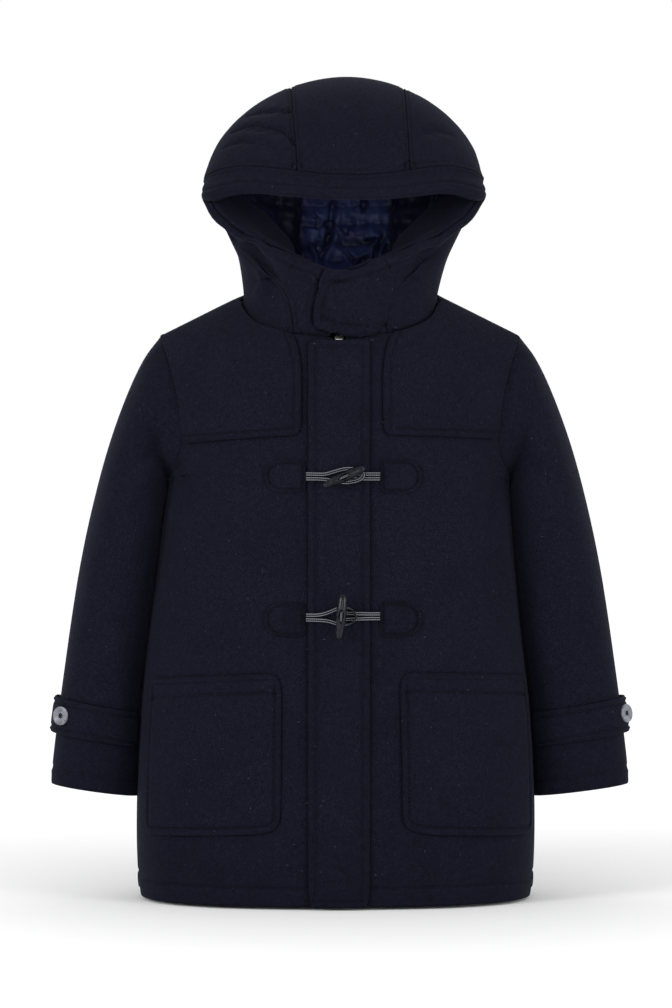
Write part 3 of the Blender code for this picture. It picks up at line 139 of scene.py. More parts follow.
for name, place, size, power in (
    ("key_left", (-2.2, -1.8, 0.4), 0.9, 42),
    ("fill_right", (2.3, -1.7, 0.1), 1.1, 36),
    ("low_front", (0.1, -2.9, -0.5), 1.5, 22),
):
    soft_box = bpy.data.lights.new(name, "AREA")
    soft_box.shape = "SQUARE"
    soft_box.size = size
    soft_box.energy = power
    lamp = bpy.data.objects.new(name, soft_box)
    bpy.context.scene.collection.objects.link(lamp)
    lamp.location = place
    lamp.rotation_euler = (Vector(CHEST) - Vector(place)).to_track_quat("-Z", "Y").to_euler()

camera_data = bpy.data.cameras.new("camera")
camera_data.sensor_fit = "VERTICAL"
camera_data.sensor_height = SENSOR
camera_data.lens = SENSOR * CAMERA_DISTANCE / FRAME_HEIGHT
camera = bpy.data.objects.new("camera", camera_data)
camera.location = CAMERA_PLACE
camera.rotation_euler = (math.radians(90), 0, 0)
bpy.context.scene.collection.objects.link(camera)
bpy.context.scene.camera = camera
bpy.context.scene.view_settings.view_transform = "Standard"

# ---------------------------------------------------------------- wool cloth
# Milled wool coating, about 3 mm thick: felted so that no weave shows, with a short brushed nap that
# catches light at the edges, and a few loose pale fibres on it.

# Grain, detail, and the shares that it darkens and lightens to
GRAINS = (
    (1.1, 3.0, 0.3, 1.7),  # the nap: a real one is finer, and is drawn this coarse to show
    (4.5, 4.0, 0.82, 1.18),  # the felting
    (45.0, 3.0, 0.9, 1.1),  # wide clouds
)
# Painted shade darkens the nap in the hollows beside seams, and the edges are painted paler, partly a painted
# highlight and
# partly rubbed nap: reach, whether it is looked for inside the cloth, the range of openness, and the shares
# that it turns to
PAINTED_SHADE_EDGE_HIGHLIGHT_AND_WEAR = ((5.0, False, (0.3, 0.95, 0.22, 1.0)), (1.6, True, (0.05, 0.6, 1.0, 1.7)))
LINT_STEP = 7.0
LINT_WIDE = 0.28
LINT_LONG = 4.5  # how many times longer than wide a stray fibre looks
LINT_DROPPED = 0.3
LINT_BEND = 2.4
LINT_BEND_SIZE = 6.0


def wool_material():
    """Milled wool: a dark, matt ground, cloudy from the felting, with a soft sheen from the nap.
    Shade is painted into its hollows, and a painted highlight, partly rubbed nap, along its edges.
    """
    material, shader, tree, place = new_material(
        "milled_wool", Roughness=0.95, Specular_IOR_Level=0.06, Sheen_Weight=0.08, Sheen_Roughness=0.4,
        Sheen_Tint=linear("#8885a6"),
    )
    shade = None
    for grain, detail, low, high in GRAINS:
        cloudy = add_node(
            tree, "TexNoise", [("Vector", place)], in_Scale=1 / (grain * MM), in_Detail=detail,
            in_Roughness=0.62,
        )
        cloudy = add_node(tree, "MapRange", [("Value", cloudy)], in_1=0.3, in_2=0.7, in_3=low, in_4=high)
        shade = add_node(tree, "Math", [(0, shade), (1, cloudy)], operation="MULTIPLY") if shade else cloudy
    nap_tone_painted_light_and_wear = shade
    # Painted shade in the hollows, and a painted highlight with rubbed nap along the edges
    for reach, inside, (shut, clear, low, high) in PAINTED_SHADE_EDGE_HIGHLIGHT_AND_WEAR:
        near = add_node(tree, "AmbientOcclusion", samples=6, inside=inside, in_Distance=reach * MM)
        near = add_node(
            tree, "MapRange", [("Value", near.outputs["AO"])], in_1=shut, in_2=clear, in_3=low, in_4=high
        )
        nap_tone_painted_light_and_wear = add_node(tree, "Math", [(0, nap_tone_painted_light_and_wear), (1, near)], operation="MULTIPLY")
    ground = add_node(tree, "VectorMath", [("Scale", nap_tone_painted_light_and_wear)], operation="SCALE", in_0=linear("#080811")[:3])

    bend = add_node(tree, "TexNoise", [("Vector", place)], in_Scale=1 / (LINT_BEND_SIZE * MM), in_Detail=1.0)
    bend = bend.outputs["Color"]
    bent = add_node(tree, "VectorMath", [(0, bend)], operation="SCALE", in_Scale=LINT_BEND * MM)
    bent = add_node(tree, "VectorMath", [(0, place), (1, bent)], operation="ADD")
    lint = None
    for channel, squeeze in enumerate(((1, 1, LINT_LONG), (LINT_LONG, 1, 1), (1, LINT_LONG, 1))):
        step = tuple(side * LINT_STEP * MM for side in squeeze)
        cells = add_node(tree, "VectorMath", [(0, bent)], operation="DIVIDE", in_1=step)
        cells = add_node(tree, "TexVoronoi", [("Vector", cells)], in_Scale=1.0)
        fibre = add_node(tree, "Math", [(0, cells)], operation="LESS_THAN", in_1=LINT_WIDE / LINT_STEP)
        chance = add_node(tree, "SeparateColor", [("Color", cells.outputs["Color"])]).outputs[channel]
        kept = add_node(tree, "Math", [(0, chance)], operation="GREATER_THAN", in_1=LINT_DROPPED)
        fibre = add_node(tree, "Math", [(0, fibre), (1, kept)], operation="MULTIPLY")
        lint = add_node(tree, "Math", [(0, lint), (1, fibre)], operation="MAXIMUM") if lint else fibre
    colour = add_node(tree, "Mix", [(0, lint), (6, ground)], data_type="RGBA", in_7=linear("#34343f"))
    tree.links.new(colour.outputs[2], shader.inputs["Base Color"])
    add_node(
        tree, "Bump", [("Height", shade)], feeds=(shader, "Normal"), in_Strength=0.45, in_Distance=0.35 * MM
    )
    return material


def select_only(piece):
    """Makes piece the only selected object and the active one."""
    bpy.ops.object.select_all(action="DESELECT")
    piece.select_set(True)
    bpy.context.view_layer.objects.active = piece


def new_piece(name, data, material, smooth=True):
    """A mesh as a new piece of the coat, which is left selected."""
    piece = bpy.data.objects.new(name, data)
    bpy.context.scene.collection.objects.link(piece)
    data.materials.clear()
    data.materials.append(material)
    select_only(piece)
    if smooth:
        bpy.ops.object.shade_smooth()
    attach(piece, "root")
    return piece


def copy_of(node, name, material):
    """A CAD node's mesh as a new piece that stands for it: one closed mesh, mostly of quads."""
    piece = new_piece(name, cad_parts[node].data.copy(), material, smooth=False)
    bpy.ops.object.mode_set(mode="EDIT")
    bpy.ops.mesh.select_all(action="SELECT")
    bpy.ops.mesh.remove_doubles(threshold=0.02 * MM)
    bpy.ops.mesh.tris_convert_to_quads(face_threshold=math.radians(35), shape_threshold=math.radians(120))
    bpy.ops.object.mode_set(mode="OBJECT")
    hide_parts(node)
    return piece


BODY = ("back", "front_left", "front_right")
PANELS = BODY + ("sleeve_left", "sleeve_right")
HOOD_PANELS = ("hood_side_left", "hood_side_right", "hood_centre")
CLOTH = (
    *BODY, "yoke_left", "yoke_right", "sleeve_left", "sleeve_right", "placket", "pocket_left",
    "pocket_right", "cuff_strap_left", "cuff_strap_right", *HOOD_PANELS, "hood_band", "hood_facing",
    "patch_upper_left", "patch_upper_right", "patch_lower_left", "patch_lower_right",
)
wool = wool_material()
pieces = {node: copy_of(node, "wool_" + node, wool) for node in CLOTH}

SEAM_REACH = 3.2
SEAM_PRESS = 0.5
NECK_CORNERS = ((-97, -27, -2), (97, -27, -2))  # where the shoulder seams run out at the neck
CORNER_SIZE = 20.0
CORNER_REACH = 9.0
RIM_ANGLE = math.radians(50)


def opened(data):
    """A mesh opened for work on its points and faces."""
    mesh = bmesh.new()
    mesh.from_mesh(data)
    return mesh


def put_back(mesh, data):
    """Writes an opened mesh back and closes it."""
    mesh.to_mesh(data)
    mesh.free()


def rim_edges(mesh):
    """The sharp edges of a closed shell, which run round its wall."""
    return [e for e in mesh.edges if e.is_manifold and e.calc_face_angle() > RIM_ANGLE]


def at_corner(place):
    """Whether a point is by a neck corner."""
    return any((place / MM - Vector(corner)).length < CORNER_SIZE for corner in NECK_CORNERS)


def tree_of(points):
    """A search tree of points."""
    tree = kdtree.KDTree(len(points))
    for number, point in enumerate(points):
        tree.insert(point, number)
    tree.balance()
    return tree


def along_edges(edges, step=0.5 * MM):
    """Closely spaced points along edges."""
    points = []
    for edge in edges:
        start, end = (vertex.co for vertex in edge.verts)
        count = max(1, round(edge.calc_length() / step))
        points += [start.lerp(end, i / count) for i in range(count + 1)]
    return points


# The rims of neighbouring panels come together, so that each seam is a crease and no gap
SEAMED = PANELS + HOOD_PANELS + ("hood_band",)
meshes = {node: opened(pieces[node].data) for node in SEAMED}
rims = {node: tree_of(along_edges(rim_edges(mesh))) for node, mesh in meshes.items()}
for node, mesh in meshes.items():
    moved = {}
    for vertex in {vertex for edge in rim_edges(mesh) for vertex in edge.verts}:
        others = [tree.find(vertex.co) for other, tree in rims.items() if other != node]
        best, _, distance = min(others, key=lambda found: found[2])
        if distance < (CORNER_REACH if at_corner(vertex.co) else SEAM_REACH) * MM:
            way = best - vertex.co
            moved[vertex] = vertex.co + way * 0.5 + way.normalized() * SEAM_PRESS * MM
    for vertex, place in moved.items():
        vertex.co = place
    put_back(mesh, pieces[node].data)

RIM, OUTER, INNER = 0, 1, 2


def mark_sides(piece):
    """Marks each face as of the outer side, the inner side or the wall's edge, and returns points
    along the edges of the outer side."""
    mesh = opened(piece.data)
    side = mesh.faces.layers.int.new("side")
    sharp = set(rim_edges(mesh))
    left = set(mesh.faces)
    areas = []
    while left:
        region = [left.pop()]
        for face in region:
            for edge in face.edges:
                if edge not in sharp:
                    for other in edge.link_faces:
                        if other in left:
                            left.discard(other)
                            region.append(other)
        areas.append((sum(face.calc_area() for face in region), region))
    areas.sort(key=lambda found: -found[0])
    for (_, region), mark in zip(areas[:2], (OUTER, INNER)):
        for face in region:
            face[side] = mark
    points = along_edges(e for e in mesh.edges if {face[side] for face in e.link_faces} == {RIM, OUTER})
    put_back(mesh, piece.data)
    return points


edges_of = {node: mark_sides(piece) for node, piece in pieces.items()}

FINE_PANELS = BODY + ("pocket_left", "pocket_right", "yoke_left", "yoke_right")
FIT_ROUNDS = 3
FIT_SHARE = 0.85
RIM_LIMIT = 1.1  # how far the fit may move a point of the rim, and one by a neck corner
CORNER_LIMIT = 7.0


def coordinates(mesh):
    """The vertices of a mesh as rows of numbers."""
    places = np.empty(len(mesh.vertices) * 3)
    mesh.vertices.foreach_get("co", places)
    return places.reshape(-1, 3)


def move_to(data, places):
    """Moves the vertices of a mesh to rows of numbers."""
    data.vertices.foreach_set("co", places.ravel())
    data.update()


def smooth_panel(piece, levels):
    """Rounds a panel with subdivision. Its points are first moved out, so that the smooth surface
    still runs through the panel's own points."""
    wanted = coordinates(piece.data)
    limit = np.full((len(wanted), 1), np.inf)
    mesh = opened(piece.data)
    for edge in rim_edges(mesh):
        for vertex in edge.verts:
            limit[vertex.index] = (CORNER_LIMIT if at_corner(vertex.co) else RIM_LIMIT) * MM
    mesh.free()
    smooth = piece.modifiers.new("smooth", "SUBSURF")
    smooth.levels = smooth.render_levels = levels
    for _ in range(FIT_ROUNDS):
        found = piece.evaluated_get(bpy.context.evaluated_depsgraph_get())
        short = wanted - coordinates(found.data)[: len(wanted)]
        shift = coordinates(piece.data) + short * FIT_SHARE - wanted
        length = np.linalg.norm(shift, axis=1, keepdims=True)
        move_to(piece.data, wanted + shift * np.minimum(1.0, limit / np.maximum(length, 1e-9)))
    select_only(piece)
    bpy.ops.object.modifier_apply(modifier="smooth")
    bpy.ops.object.shade_smooth()


for node, piece in pieces.items():
    smooth_panel(piece, 3 if node in FINE_PANELS else 2)

# ---------------------------------------------------------------- folds and rolled edges
# What the flat pieces do on a filled-out coat. The sleeves lean on the body, the hood's thick edge
# rolls over, its facing hangs in from the sides, and the heavy cloth takes a few soft folds.

SLEEVE_TOP, SLEEVE_LOW = -150.0, -492.0
ARMPIT = -168.0
LEAN_STEP = 7.0
LEAN_LAP = 2.6


def seen_x(place):
    """How far to the side a point is seen, in mm at the middle of the coat."""
    return place[:, 0] / MM * CAMERA_DISTANCE / (CAMERA_DISTANCE + place[:, 1])


body = np.concatenate([coordinates(pieces[node].data) for node in BODY])
levels = np.arange(SLEEVE_LOW, SLEEVE_TOP + 2 * LEAN_STEP, LEAN_STEP)
for hand, outward in (("left", -1), ("right", 1)):
    sleeve = coordinates(pieces["sleeve_" + hand].data)
    near, far, gaps = [], [], []
    for level in levels:
        height = min(level, SLEEVE_TOP)
        row = seen_x(sleeve[abs(sleeve[:, 2] / MM - height) < LEAN_STEP]) * outward
        beside = seen_x(body[abs(body[:, 2] / MM - height) < LEAN_STEP]) * outward
        near.append(row.min())
        far.append(row.max())
        gaps.append(max(0.0, row.min() - beside.max() + LEAN_LAP) if level < ARMPIT else 0.0)
    for name in ("sleeve_" + hand, "cuff_strap_" + hand):
        places = coordinates(pieces[name].data)
        height = places[:, 2] / MM
        low, high = np.interp(height, levels, near), np.interp(height, levels, far)
        inward = np.clip((high - seen_x(places) * outward) / (high - low), 0, 1)
        places[:, 0] -= outward * np.interp(height, levels, gaps) * inward**2 * (3 - 2 * inward) * MM
        move_to(pieces[name].data, places)

LIP_NEAR = 5.5
LIP_REACH = 15.0
LIP_ROLL_START = 2.0
LIP_RISE = 2.4
FACING_REACH = 38.0
# Height, and how far the facing's inner edge stands in from the hood's side there
FACING_STAND = (
    (-10, 0), (10, 14), (30, 38), (50, 51), (62, 50), (70, 46), (84, 39), (92, 32), (100, 23), (112, 12),
    (124, 4), (132, 0),
)
FACING_HALF = 30.0
LIP_CORNERS = ((-123, -52, 83), (130, -52, 83))
CORNER_REACH_OUT = 13.0
CORNER_PUSH = 5.0
DROP = 9.5  # the lower lip sags at the sides, so that the opening's corners are round
DROP_MIDDLE, DROP_REACH = 112.0, 44.0
DROP_TOP, DROP_FADE = 104.0, 26.0
DROP_DEPTH = 36.0

facing_edge = tree_of(edges_of["hood_facing"])
lip = tree_of([point for point in edges_of["hood_band"] if facing_edge.find(point)[2] < LIP_NEAR * MM])


def eased(share):
    """A share from 0 to 1, eased at both ends."""
    share = min(1.0, max(0.0, share))
    return share * share * (3 - 2 * share)


def stand_in(place):
    """How far a point of the facing is moved in from the side of the hood."""
    share = eased(lip.find(place)[2] / MM / FACING_REACH)
    height = np.interp(place.z / MM, *zip(*FACING_STAND))
    side = max(-1.0, min(1.0, place.x / (FACING_HALF * MM)))
    return Vector((-side * height * share * MM, 0.15 * height * share * MM, 0))


def sag(place):
    """How far a point of the lip sags and rounds at the corners of the face opening."""
    shift = Vector((0, 0, 0))
    for corner in LIP_CORNERS:
        near = math.exp(-(((place / MM - Vector(corner)).length / CORNER_REACH_OUT) ** 2))
        shift += Vector((math.copysign(0.85, corner[0]), 0, -0.5)) * CORNER_PUSH * near * MM
    aside = math.exp(-(((abs(place.x) / MM - DROP_MIDDLE) / DROP_REACH) ** 2))
    below = eased((DROP_TOP - place.z / MM) / DROP_FADE)
    by_lip = 1 - eased(lip.find(place)[2] / MM / DROP_DEPTH)
    shift.z -= DROP * aside * below * by_lip * MM
    return shift


for node in ("hood_band", "hood_facing"):
    data = pieces[node].data
    moved = np.zeros((len(data.vertices), 3))
    for number, vertex in enumerate(data.vertices):
        away = lip.find(vertex.co)[2] / MM
        if away < LIP_REACH:
            roll = math.sin(math.pi * min(1.0, (away + LIP_ROLL_START) / (LIP_REACH + LIP_ROLL_START))) ** 0.8
            moved[number] = np.array(vertex.normal) * LIP_RISE * roll * MM
        moved[number] += np.array(sag(vertex.co))
        if node == "hood_facing":
            moved[number] += np.array(stand_in(vertex.co))
    move_to(data, coordinates(data) + moved)
    edges_of[node] = [point + sag(point) for point in edges_of[node]]

PATCH_SINK = 1.3
for node, piece in pieces.items():
    if node.startswith("patch"):
        for vertex in piece.data.vertices:
            vertex.co.y += PATCH_SINK * MM

# For a piece and the side it is seen from: depth, width and line (x and height) of each fold
NECK_FOLD_LEFT = ((-99, 66), (-86, 47), (-74, 30), (-66, 12), (-62, -4))
NECK_FOLD_RIGHT = ((98, 64), (84, 45), (72, 28), (66, 8))
FOLDS = {
    ("hood_side_left", "front"): (
        (2.4, 4.6, (-104, 166), (-84, 164), (-64, 160), (-44, 151)),
        (1.9, 4.2, (-90, 181), (-72, 182), (-56, 181), (-43, 180)),
        (1.3, 4.0, (-112, 148), (-96, 150), (-80, 147)),
        (6.5, 10.0, *NECK_FOLD_LEFT),
    ),
    ("hood_side_right", "front"): (
        (1.4, 5.0, (112, 158), (98, 161), (84, 158), (70, 152)),
        (4.4, 10.0, *NECK_FOLD_RIGHT),
    ),
    ("hood_band", "front"): ((5.5, 10.0, *NECK_FOLD_LEFT), (3.4, 10.0, *NECK_FOLD_RIGHT)),
    ("sleeve_left", "front"): (
        (3.4, 9.0, (-172, -136), (-190, -158), (-208, -170), (-226, -176)),
        (2.4, 10.0, (-184, -196), (-202, -212), (-224, -222)),
        (2.2, 11.0, (-196, -300), (-214, -316), (-238, -326), (-254, -330)),
        (1.8, 10.0, (-260, -388), (-240, -398), (-222, -404)),
    ),
    ("sleeve_right", "front"): (
        (3.0, 9.0, (172, -140), (188, -164), (206, -180), (222, -188)),
        (2.2, 10.0, (186, -214), (206, -226), (226, -232)),
        (2.4, 11.0, (200, -318), (220, -332), (244, -338)),
        (1.6, 10.0, (214, -380), (236, -390), (262, -392)),
    ),
    ("front_left", "front"): (
        (2.6, 13.0, (-158, -160), (-146, -186), (-140, -216), (-138, -250)),
        (1.8, 17.0, (-60, -190), (-72, -240), (-78, -300), (-84, -350)),
        (1.6, 14.0, (-112, -300), (-104, -334), (-98, -366)),
        (2.2, 14.0, (-150, -500), (-154, -545), (-158, -586)),
    ),
    ("front_right", "front"): (
        (2.4, 13.0, (158, -165), (147, -196), (142, -230), (140, -262)),
        (1.9, 17.0, (76, -200), (92, -252), (98, -310)),
        (1.5, 14.0, (126, -316), (112, -344), (104, -372)),
        (1.3, 12.0, (52, -420), (50, -480), (54, -560)),
    ),
    ("back", "back"): (
        (3.0, 18.0, (-120, -90), (-96, -150), (-84, -220), (-80, -300)),
        (2.6, 18.0, (118, -100), (98, -160), (92, -230), (96, -290)),
        (2.4, 12.0, (-30, -60), (0, -72), (34, -64)),
        (2.6, 18.0, (-140, -330), (-134, -420), (-140, -520)),
        (2.2, 20.0, (60, -360), (52, -450), (56, -560)),
    ),
    ("sleeve_left", "back"): (
        (3.0, 10.0, (-176, -150), (-196, -176), (-220, -190)),
        (2.6, 11.0, (-206, -280), (-226, -292), (-248, -296)),
    ),
    ("sleeve_right", "back"): (
        (3.2, 10.0, (178, -146), (198, -170), (220, -180)),
        (2.4, 11.0, (208, -296), (228, -304), (248, -310)),
    ),
    ("hood_side_left", "back"): ((2.6, 12.0, (-60, 30), (-70, 60), (-66, 96)),),
    ("hood_side_right", "back"): ((2.2, 12.0, (62, 26), (74, 58), (72, 90)),),
    ("hood_centre", "back"): ((2.6, 11.0, (-30, 40), (2, 32), (34, 42)),),
}
FOLD_STEPS = 60
FOLD_EDGE = 5.0  # a fold is shallower within this distance of a seam
FOLD_AT_SEAM = 0.25
RIDGE_SHARE, RIDGE_PLACE, RIDGE_WIDTH = 0.5, 2.1, 1.1  # of the fold's depth and width


def spline_through(rows, steps):
    """Rows of numbers joined by a smooth curve, and read at equal steps."""
    rows = np.array(rows, dtype=float)
    padded = np.concatenate([[2 * rows[0] - rows[1]], rows, [2 * rows[-1] - rows[-2]]])
    read = []
    for place in np.linspace(0, len(rows) - 1, steps):
        number = min(int(place), len(rows) - 2)
        share = place - number
        p0, p1, p2, p3 = padded[number : number + 4]
        bow = 2 * p0 - 5 * p1 + 4 * p2 - p3 + share * (3 * (p1 - p2) + p3 - p0)
        read.append(p1 + 0.5 * share * (p2 - p0 + share * bow))
    return np.array(read)


def fold_line(node, view, line):
    """Points of a line on its piece, and the way out of the cloth at each."""
    tree = bvhtree.BVHTree.FromObject(pieces[node], bpy.context.evaluated_depsgraph_get())
    look = 1 if view == "front" else -1
    found = []
    for across, height in spline_through(line, FOLD_STEPS):
        eye = Vector((across * MM, -look * 0.5, height * MM))
        place, normal, _, _ = tree.ray_cast(eye, Vector((0, look, 0)))
        found.append((place, normal) if place is not None else None)
    return found


def hump(away, middle, width):
    """A soft rise of height 1 about a distance."""
    return math.exp(-(((away - middle) / width) ** 2))


def press_fold(node, view, depth, width, *line):
    """Presses a soft trough into a piece, with a lower ridge along each side of it."""
    found = fold_line(node, view, line)
    marks = [(number, *mark) for number, mark in enumerate(found) if mark is not None]
    if not marks:
        return
    tree = tree_of([place for _, place, _ in marks])
    rim = tree_of(edges_of[node])
    for vertex in pieces[node].data.vertices:
        _, nearest, away = tree.find(vertex.co)
        away /= MM * width
        if away > 4:
            continue
        number, _, normal = marks[nearest]
        fade = math.sin(math.pi * (number + 0.5) / FOLD_STEPS) ** 0.6
        calm = min(1.0, rim.find(vertex.co)[2] / MM / FOLD_EDGE)
        trough = RIDGE_SHARE * hump(away, RIDGE_PLACE, RIDGE_WIDTH) - hump(away, 0, 1)
        calm = FOLD_AT_SEAM + (1 - FOLD_AT_SEAM) * calm
        vertex.co += normal * depth * trough * fade * calm * MM
    pieces[node].data.update()


for (node, view), folds in FOLDS.items():
    for fold in folds:
        press_fold(node, view, *fold)

# Where the tab leaves the band, the cloth runs on flat
root_left, root_right, root_low, root_top = -16, 12, -42, 24
mesh = opened(pieces["hood_band"].data)
rim = tree_of(edges_of["hood_band"])
level_part = [
    v
    for v in mesh.verts
    if root_left < v.co.x / MM < root_right and root_low < v.co.z / MM < root_top
    and rim.find(v.co)[2] > 3.5 * MM
]
for _ in range(30):
    bmesh.ops.smooth_vert(
        mesh, verts=level_part, factor=0.5, use_axis_x=True, use_axis_y=True, use_axis_z=True
    )
put_back(mesh, pieces["hood_band"].data)

# ---------------------------------------------------------------- topstitching
# Lines of lockstitch in dark thread, a few millimetres inside the edges. Each line pulls the thick
# cloth in, so that it lies in a soft furrow and the edge beside it stands up round.

STITCH_LENGTH = 2.7
STITCH_STEP = 3.8
STITCH_SIDES = 5
STITCH_PROFILE = ((-0.5, 0.4), (-0.36, 1.0), (0.36, 1.0), (0.5, 0.4))
STITCH_RISE = 0.35  # how far a stitch's middle stands off the cloth, in radii
THREAD_RADIUS = 0.27
FURROW_DEPTH = 1.25
FURROW_WIDTH = 1.5
EDGE_RISE = 0.8
SEAM_DEPTH = 1.3
SEAM_WIDTH = 2.0
SEAM_PUFF = 0.7
SEAM_PUFF_AT = 2.3 * SEAM_WIDTH
REFINE_ROUNDS = 2
REFINE_LENGTH = 1.8
ROW_SIDE, SEAM_SIDE = 2.5, 5.0  # how far beside a row or a seam the mesh is refined

thread = new_material(
    "polyester_thread", Base_Color=linear("#0c0c13"), Roughness=0.6, Specular_IOR_Level=0.1
)[0]


def chains_of(links):
    """Runs of points from pairs of neighbours, each point having one or two."""
    runs = []
    left = {key: set(others) for key, others in links.items()}
    starts = sorted(key for key, others in left.items() if len(others) == 1)
    for start in starts + sorted(left):
        run = [start]
        while left[run[-1]]:
            following = min(left[run[-1]])
            left[run[-1]].discard(following)
            left[following].discard(run[-1])
            run.append(following)
        if len(run) > 2:
            runs.append(run)
    return runs


def level_lines(mesh, field, level):
    """Lines on a panel's outer side where a field of its vertices crosses a level: points, normals."""
    side = mesh.faces.layers.int["side"]
    cross, links = {}, {}
    for face in mesh.faces:
        if face[side] != OUTER:
            continue
        ends = []
        for edge in face.edges:
            low, high = (field[v.index] - level for v in edge.verts)
            if (low < 0) != (high < 0):
                share = low / (low - high)
                first, last = edge.verts
                cross[edge.index] = (first.co.lerp(last.co, share), first.normal.lerp(last.normal, share))
                ends.append(edge.index)
        if len(ends) == 2:
            links.setdefault(ends[0], set()).add(ends[1])
            links.setdefault(ends[1], set()).add(ends[0])
    return [tuple(np.array([cross[key][part] for key in run]) for part in (0, 1)) for run in chains_of(links)]


def measured(points):
    """Distance along a line at each of its points."""
    return np.concatenate([[0], np.cumsum(np.linalg.norm(np.diff(points, axis=0), axis=1))])


def at_lengths(points, lengths, wanted):
    """Rows of points at distances along their line."""
    return np.stack([np.interp(wanted, lengths, points[:, axis]) for axis in range(3)], axis=-1)


def unit(rows):
    """Rows of numbers, each scaled to length 1."""
    return rows / np.linalg.norm(rows, axis=-1, keepdims=True)


def stitch_mesh(name, lines):
    """One mesh of small rounded stitches along lines."""
    vertices, faces = [], []
    for points, normals in lines:
        lengths = measured(points)
        count = int(lengths[-1] / (STITCH_STEP * MM))
        for number in range(count):
            middle = (number + 0.5) * lengths[-1] / count
            half = STITCH_LENGTH / 2 * MM
            start, place, end = at_lengths(points, lengths, [middle - half, middle, middle + half])
            along = unit(end - start)
            across = unit(np.cross(along, at_lengths(normals, lengths, [middle])[0]))
            up = np.cross(across, along)
            first = len(vertices)
            for length, size in STITCH_PROFILE:
                for corner in range(STITCH_SIDES):
                    angle = 2 * math.pi * corner / STITCH_SIDES
                    arm = across * math.cos(angle) + up * (math.sin(angle) + STITCH_RISE)
                    reach = along * length * STITCH_LENGTH + arm * size * THREAD_RADIUS
                    vertices.append(place + reach * MM)
            rings = [range(low, low + STITCH_SIDES) for low in range(first, len(vertices), STITCH_SIDES)]
            for low, high in zip(rings, rings[1:]):
                for corner in range(STITCH_SIDES):
                    after = (corner + 1) % STITCH_SIDES
                    faces.append((low[corner], low[after], high[after], high[corner]))
            faces += [tuple(reversed(rings[0])), tuple(rings[-1])]
    data = bpy.data.meshes.new(name)
    data.from_pydata(vertices, [], faces)
    piece = new_piece(name, data, thread)
    bpy.ops.object.mode_set(mode="EDIT")
    bpy.ops.mesh.select_all(action="SELECT")
    bpy.ops.mesh.normals_make_consistent(inside=False)
    bpy.ops.object.mode_set(mode="OBJECT")
    return piece


def lift_along(node, line, low, high, lift):
    """Refines a panel's outer side where it is between two distances from a line of points, and moves
    its points out by what lift gives for a distance and a vertex. Returns the open mesh and the
    distance of each vertex."""
    tree = tree_of(line)
    mesh = opened(pieces[node].data)
    side = mesh.faces.layers.int["side"]

    def distances():
        mesh.verts.index_update()
        return [tree.find(v.co)[2] / MM for v in mesh.verts]

    for _ in range(REFINE_ROUNDS):
        field = distances()
        chosen = {
            edge
            for face in mesh.faces
            if face[side] == OUTER and any(low < field[v.index] < high for v in face.verts)
            for edge in face.edges
            if edge.calc_length() > REFINE_LENGTH * MM
        }
        bmesh.ops.subdivide_edges(mesh, edges=list(chosen), cuts=1, use_grid_fill=True)
    mesh.edges.index_update()
    mesh.normal_update()
    field = distances()
    outer = [v for v in mesh.verts if all(face[side] == OUTER for face in v.link_faces)]
    for vertex, way in [(v, v.normal * lift(field[v.index], v) * MM) for v in outer]:
        vertex.co += way
    mesh.normal_update()
    return mesh, field


def topstitch(node, rows):
    """Sews rows of stitches into a panel. A row is how far inside the edge it runs, and a rule that
    says which points of the panel's edges (in mm) it follows. A row at 0 is the seam itself: the
    cloth dips to it, and no stitch shows."""
    lines = []
    for inset, rule in rows:

        def lift(away, vertex):
            if inset == 0:
                puff = SEAM_PUFF * hump(away, SEAM_PUFF_AT, SEAM_WIDTH)
                return puff - SEAM_DEPTH * hump(away, 0, SEAM_WIDTH)
            rise = EDGE_RISE * math.sin(math.pi * away / inset) if away < inset else 0.0
            return rise - FURROW_DEPTH * hump(away, inset, FURROW_WIDTH)

        line = [point for point in edges_of[node] if rule(point)]
        if not line:
            continue
        reach = inset + (ROW_SIDE if inset else SEAM_SIDE)
        mesh, field = lift_along(node, line, inset - ROW_SIDE, reach, lift)
        if inset:
            lines += level_lines(mesh, field, inset)
        put_back(mesh, pieces[node].data)
    select_only(pieces[node])
    bpy.ops.object.shade_smooth()
    return stitch_mesh("stitching_" + node, lines) if lines else None


NEIGHBOUR = 4.0
edge_trees = {node: tree_of(points) for node, points in edges_of.items()}


def beside(*nodes, reach=NEIGHBOUR):
    """A rule for the edge points that lie along other pieces' edges."""
    return lambda point: any(edge_trees[node].find(point)[2] < reach * MM for node in nodes)


def where(test):
    """A rule from a test of x, y and height in mm."""
    return lambda point: test(*(point / MM))


everywhere = where(lambda x, y, z: True)
on_tab = where(lambda x, y, z: -32 < x < 16 and z < 18)  # on the throat tab or under it
at_hem = where(lambda x, y, z: z < -588)

EDGE_INSET = 6.5
PATCH_INSET = 3.0
STRAP_INSET = 5.0
HEM_INSET = 19.5
CUFF_INSET = 17.5
GUSSET_INSET = 4.0
BAND_INSET = 4.8
LIP_INSET = 8.0
SHOULDER_INSET = 6.0
POCKET_HEM = 19.0
by_panels = beside(*BODY, *HOOD_PANELS, reach=5)

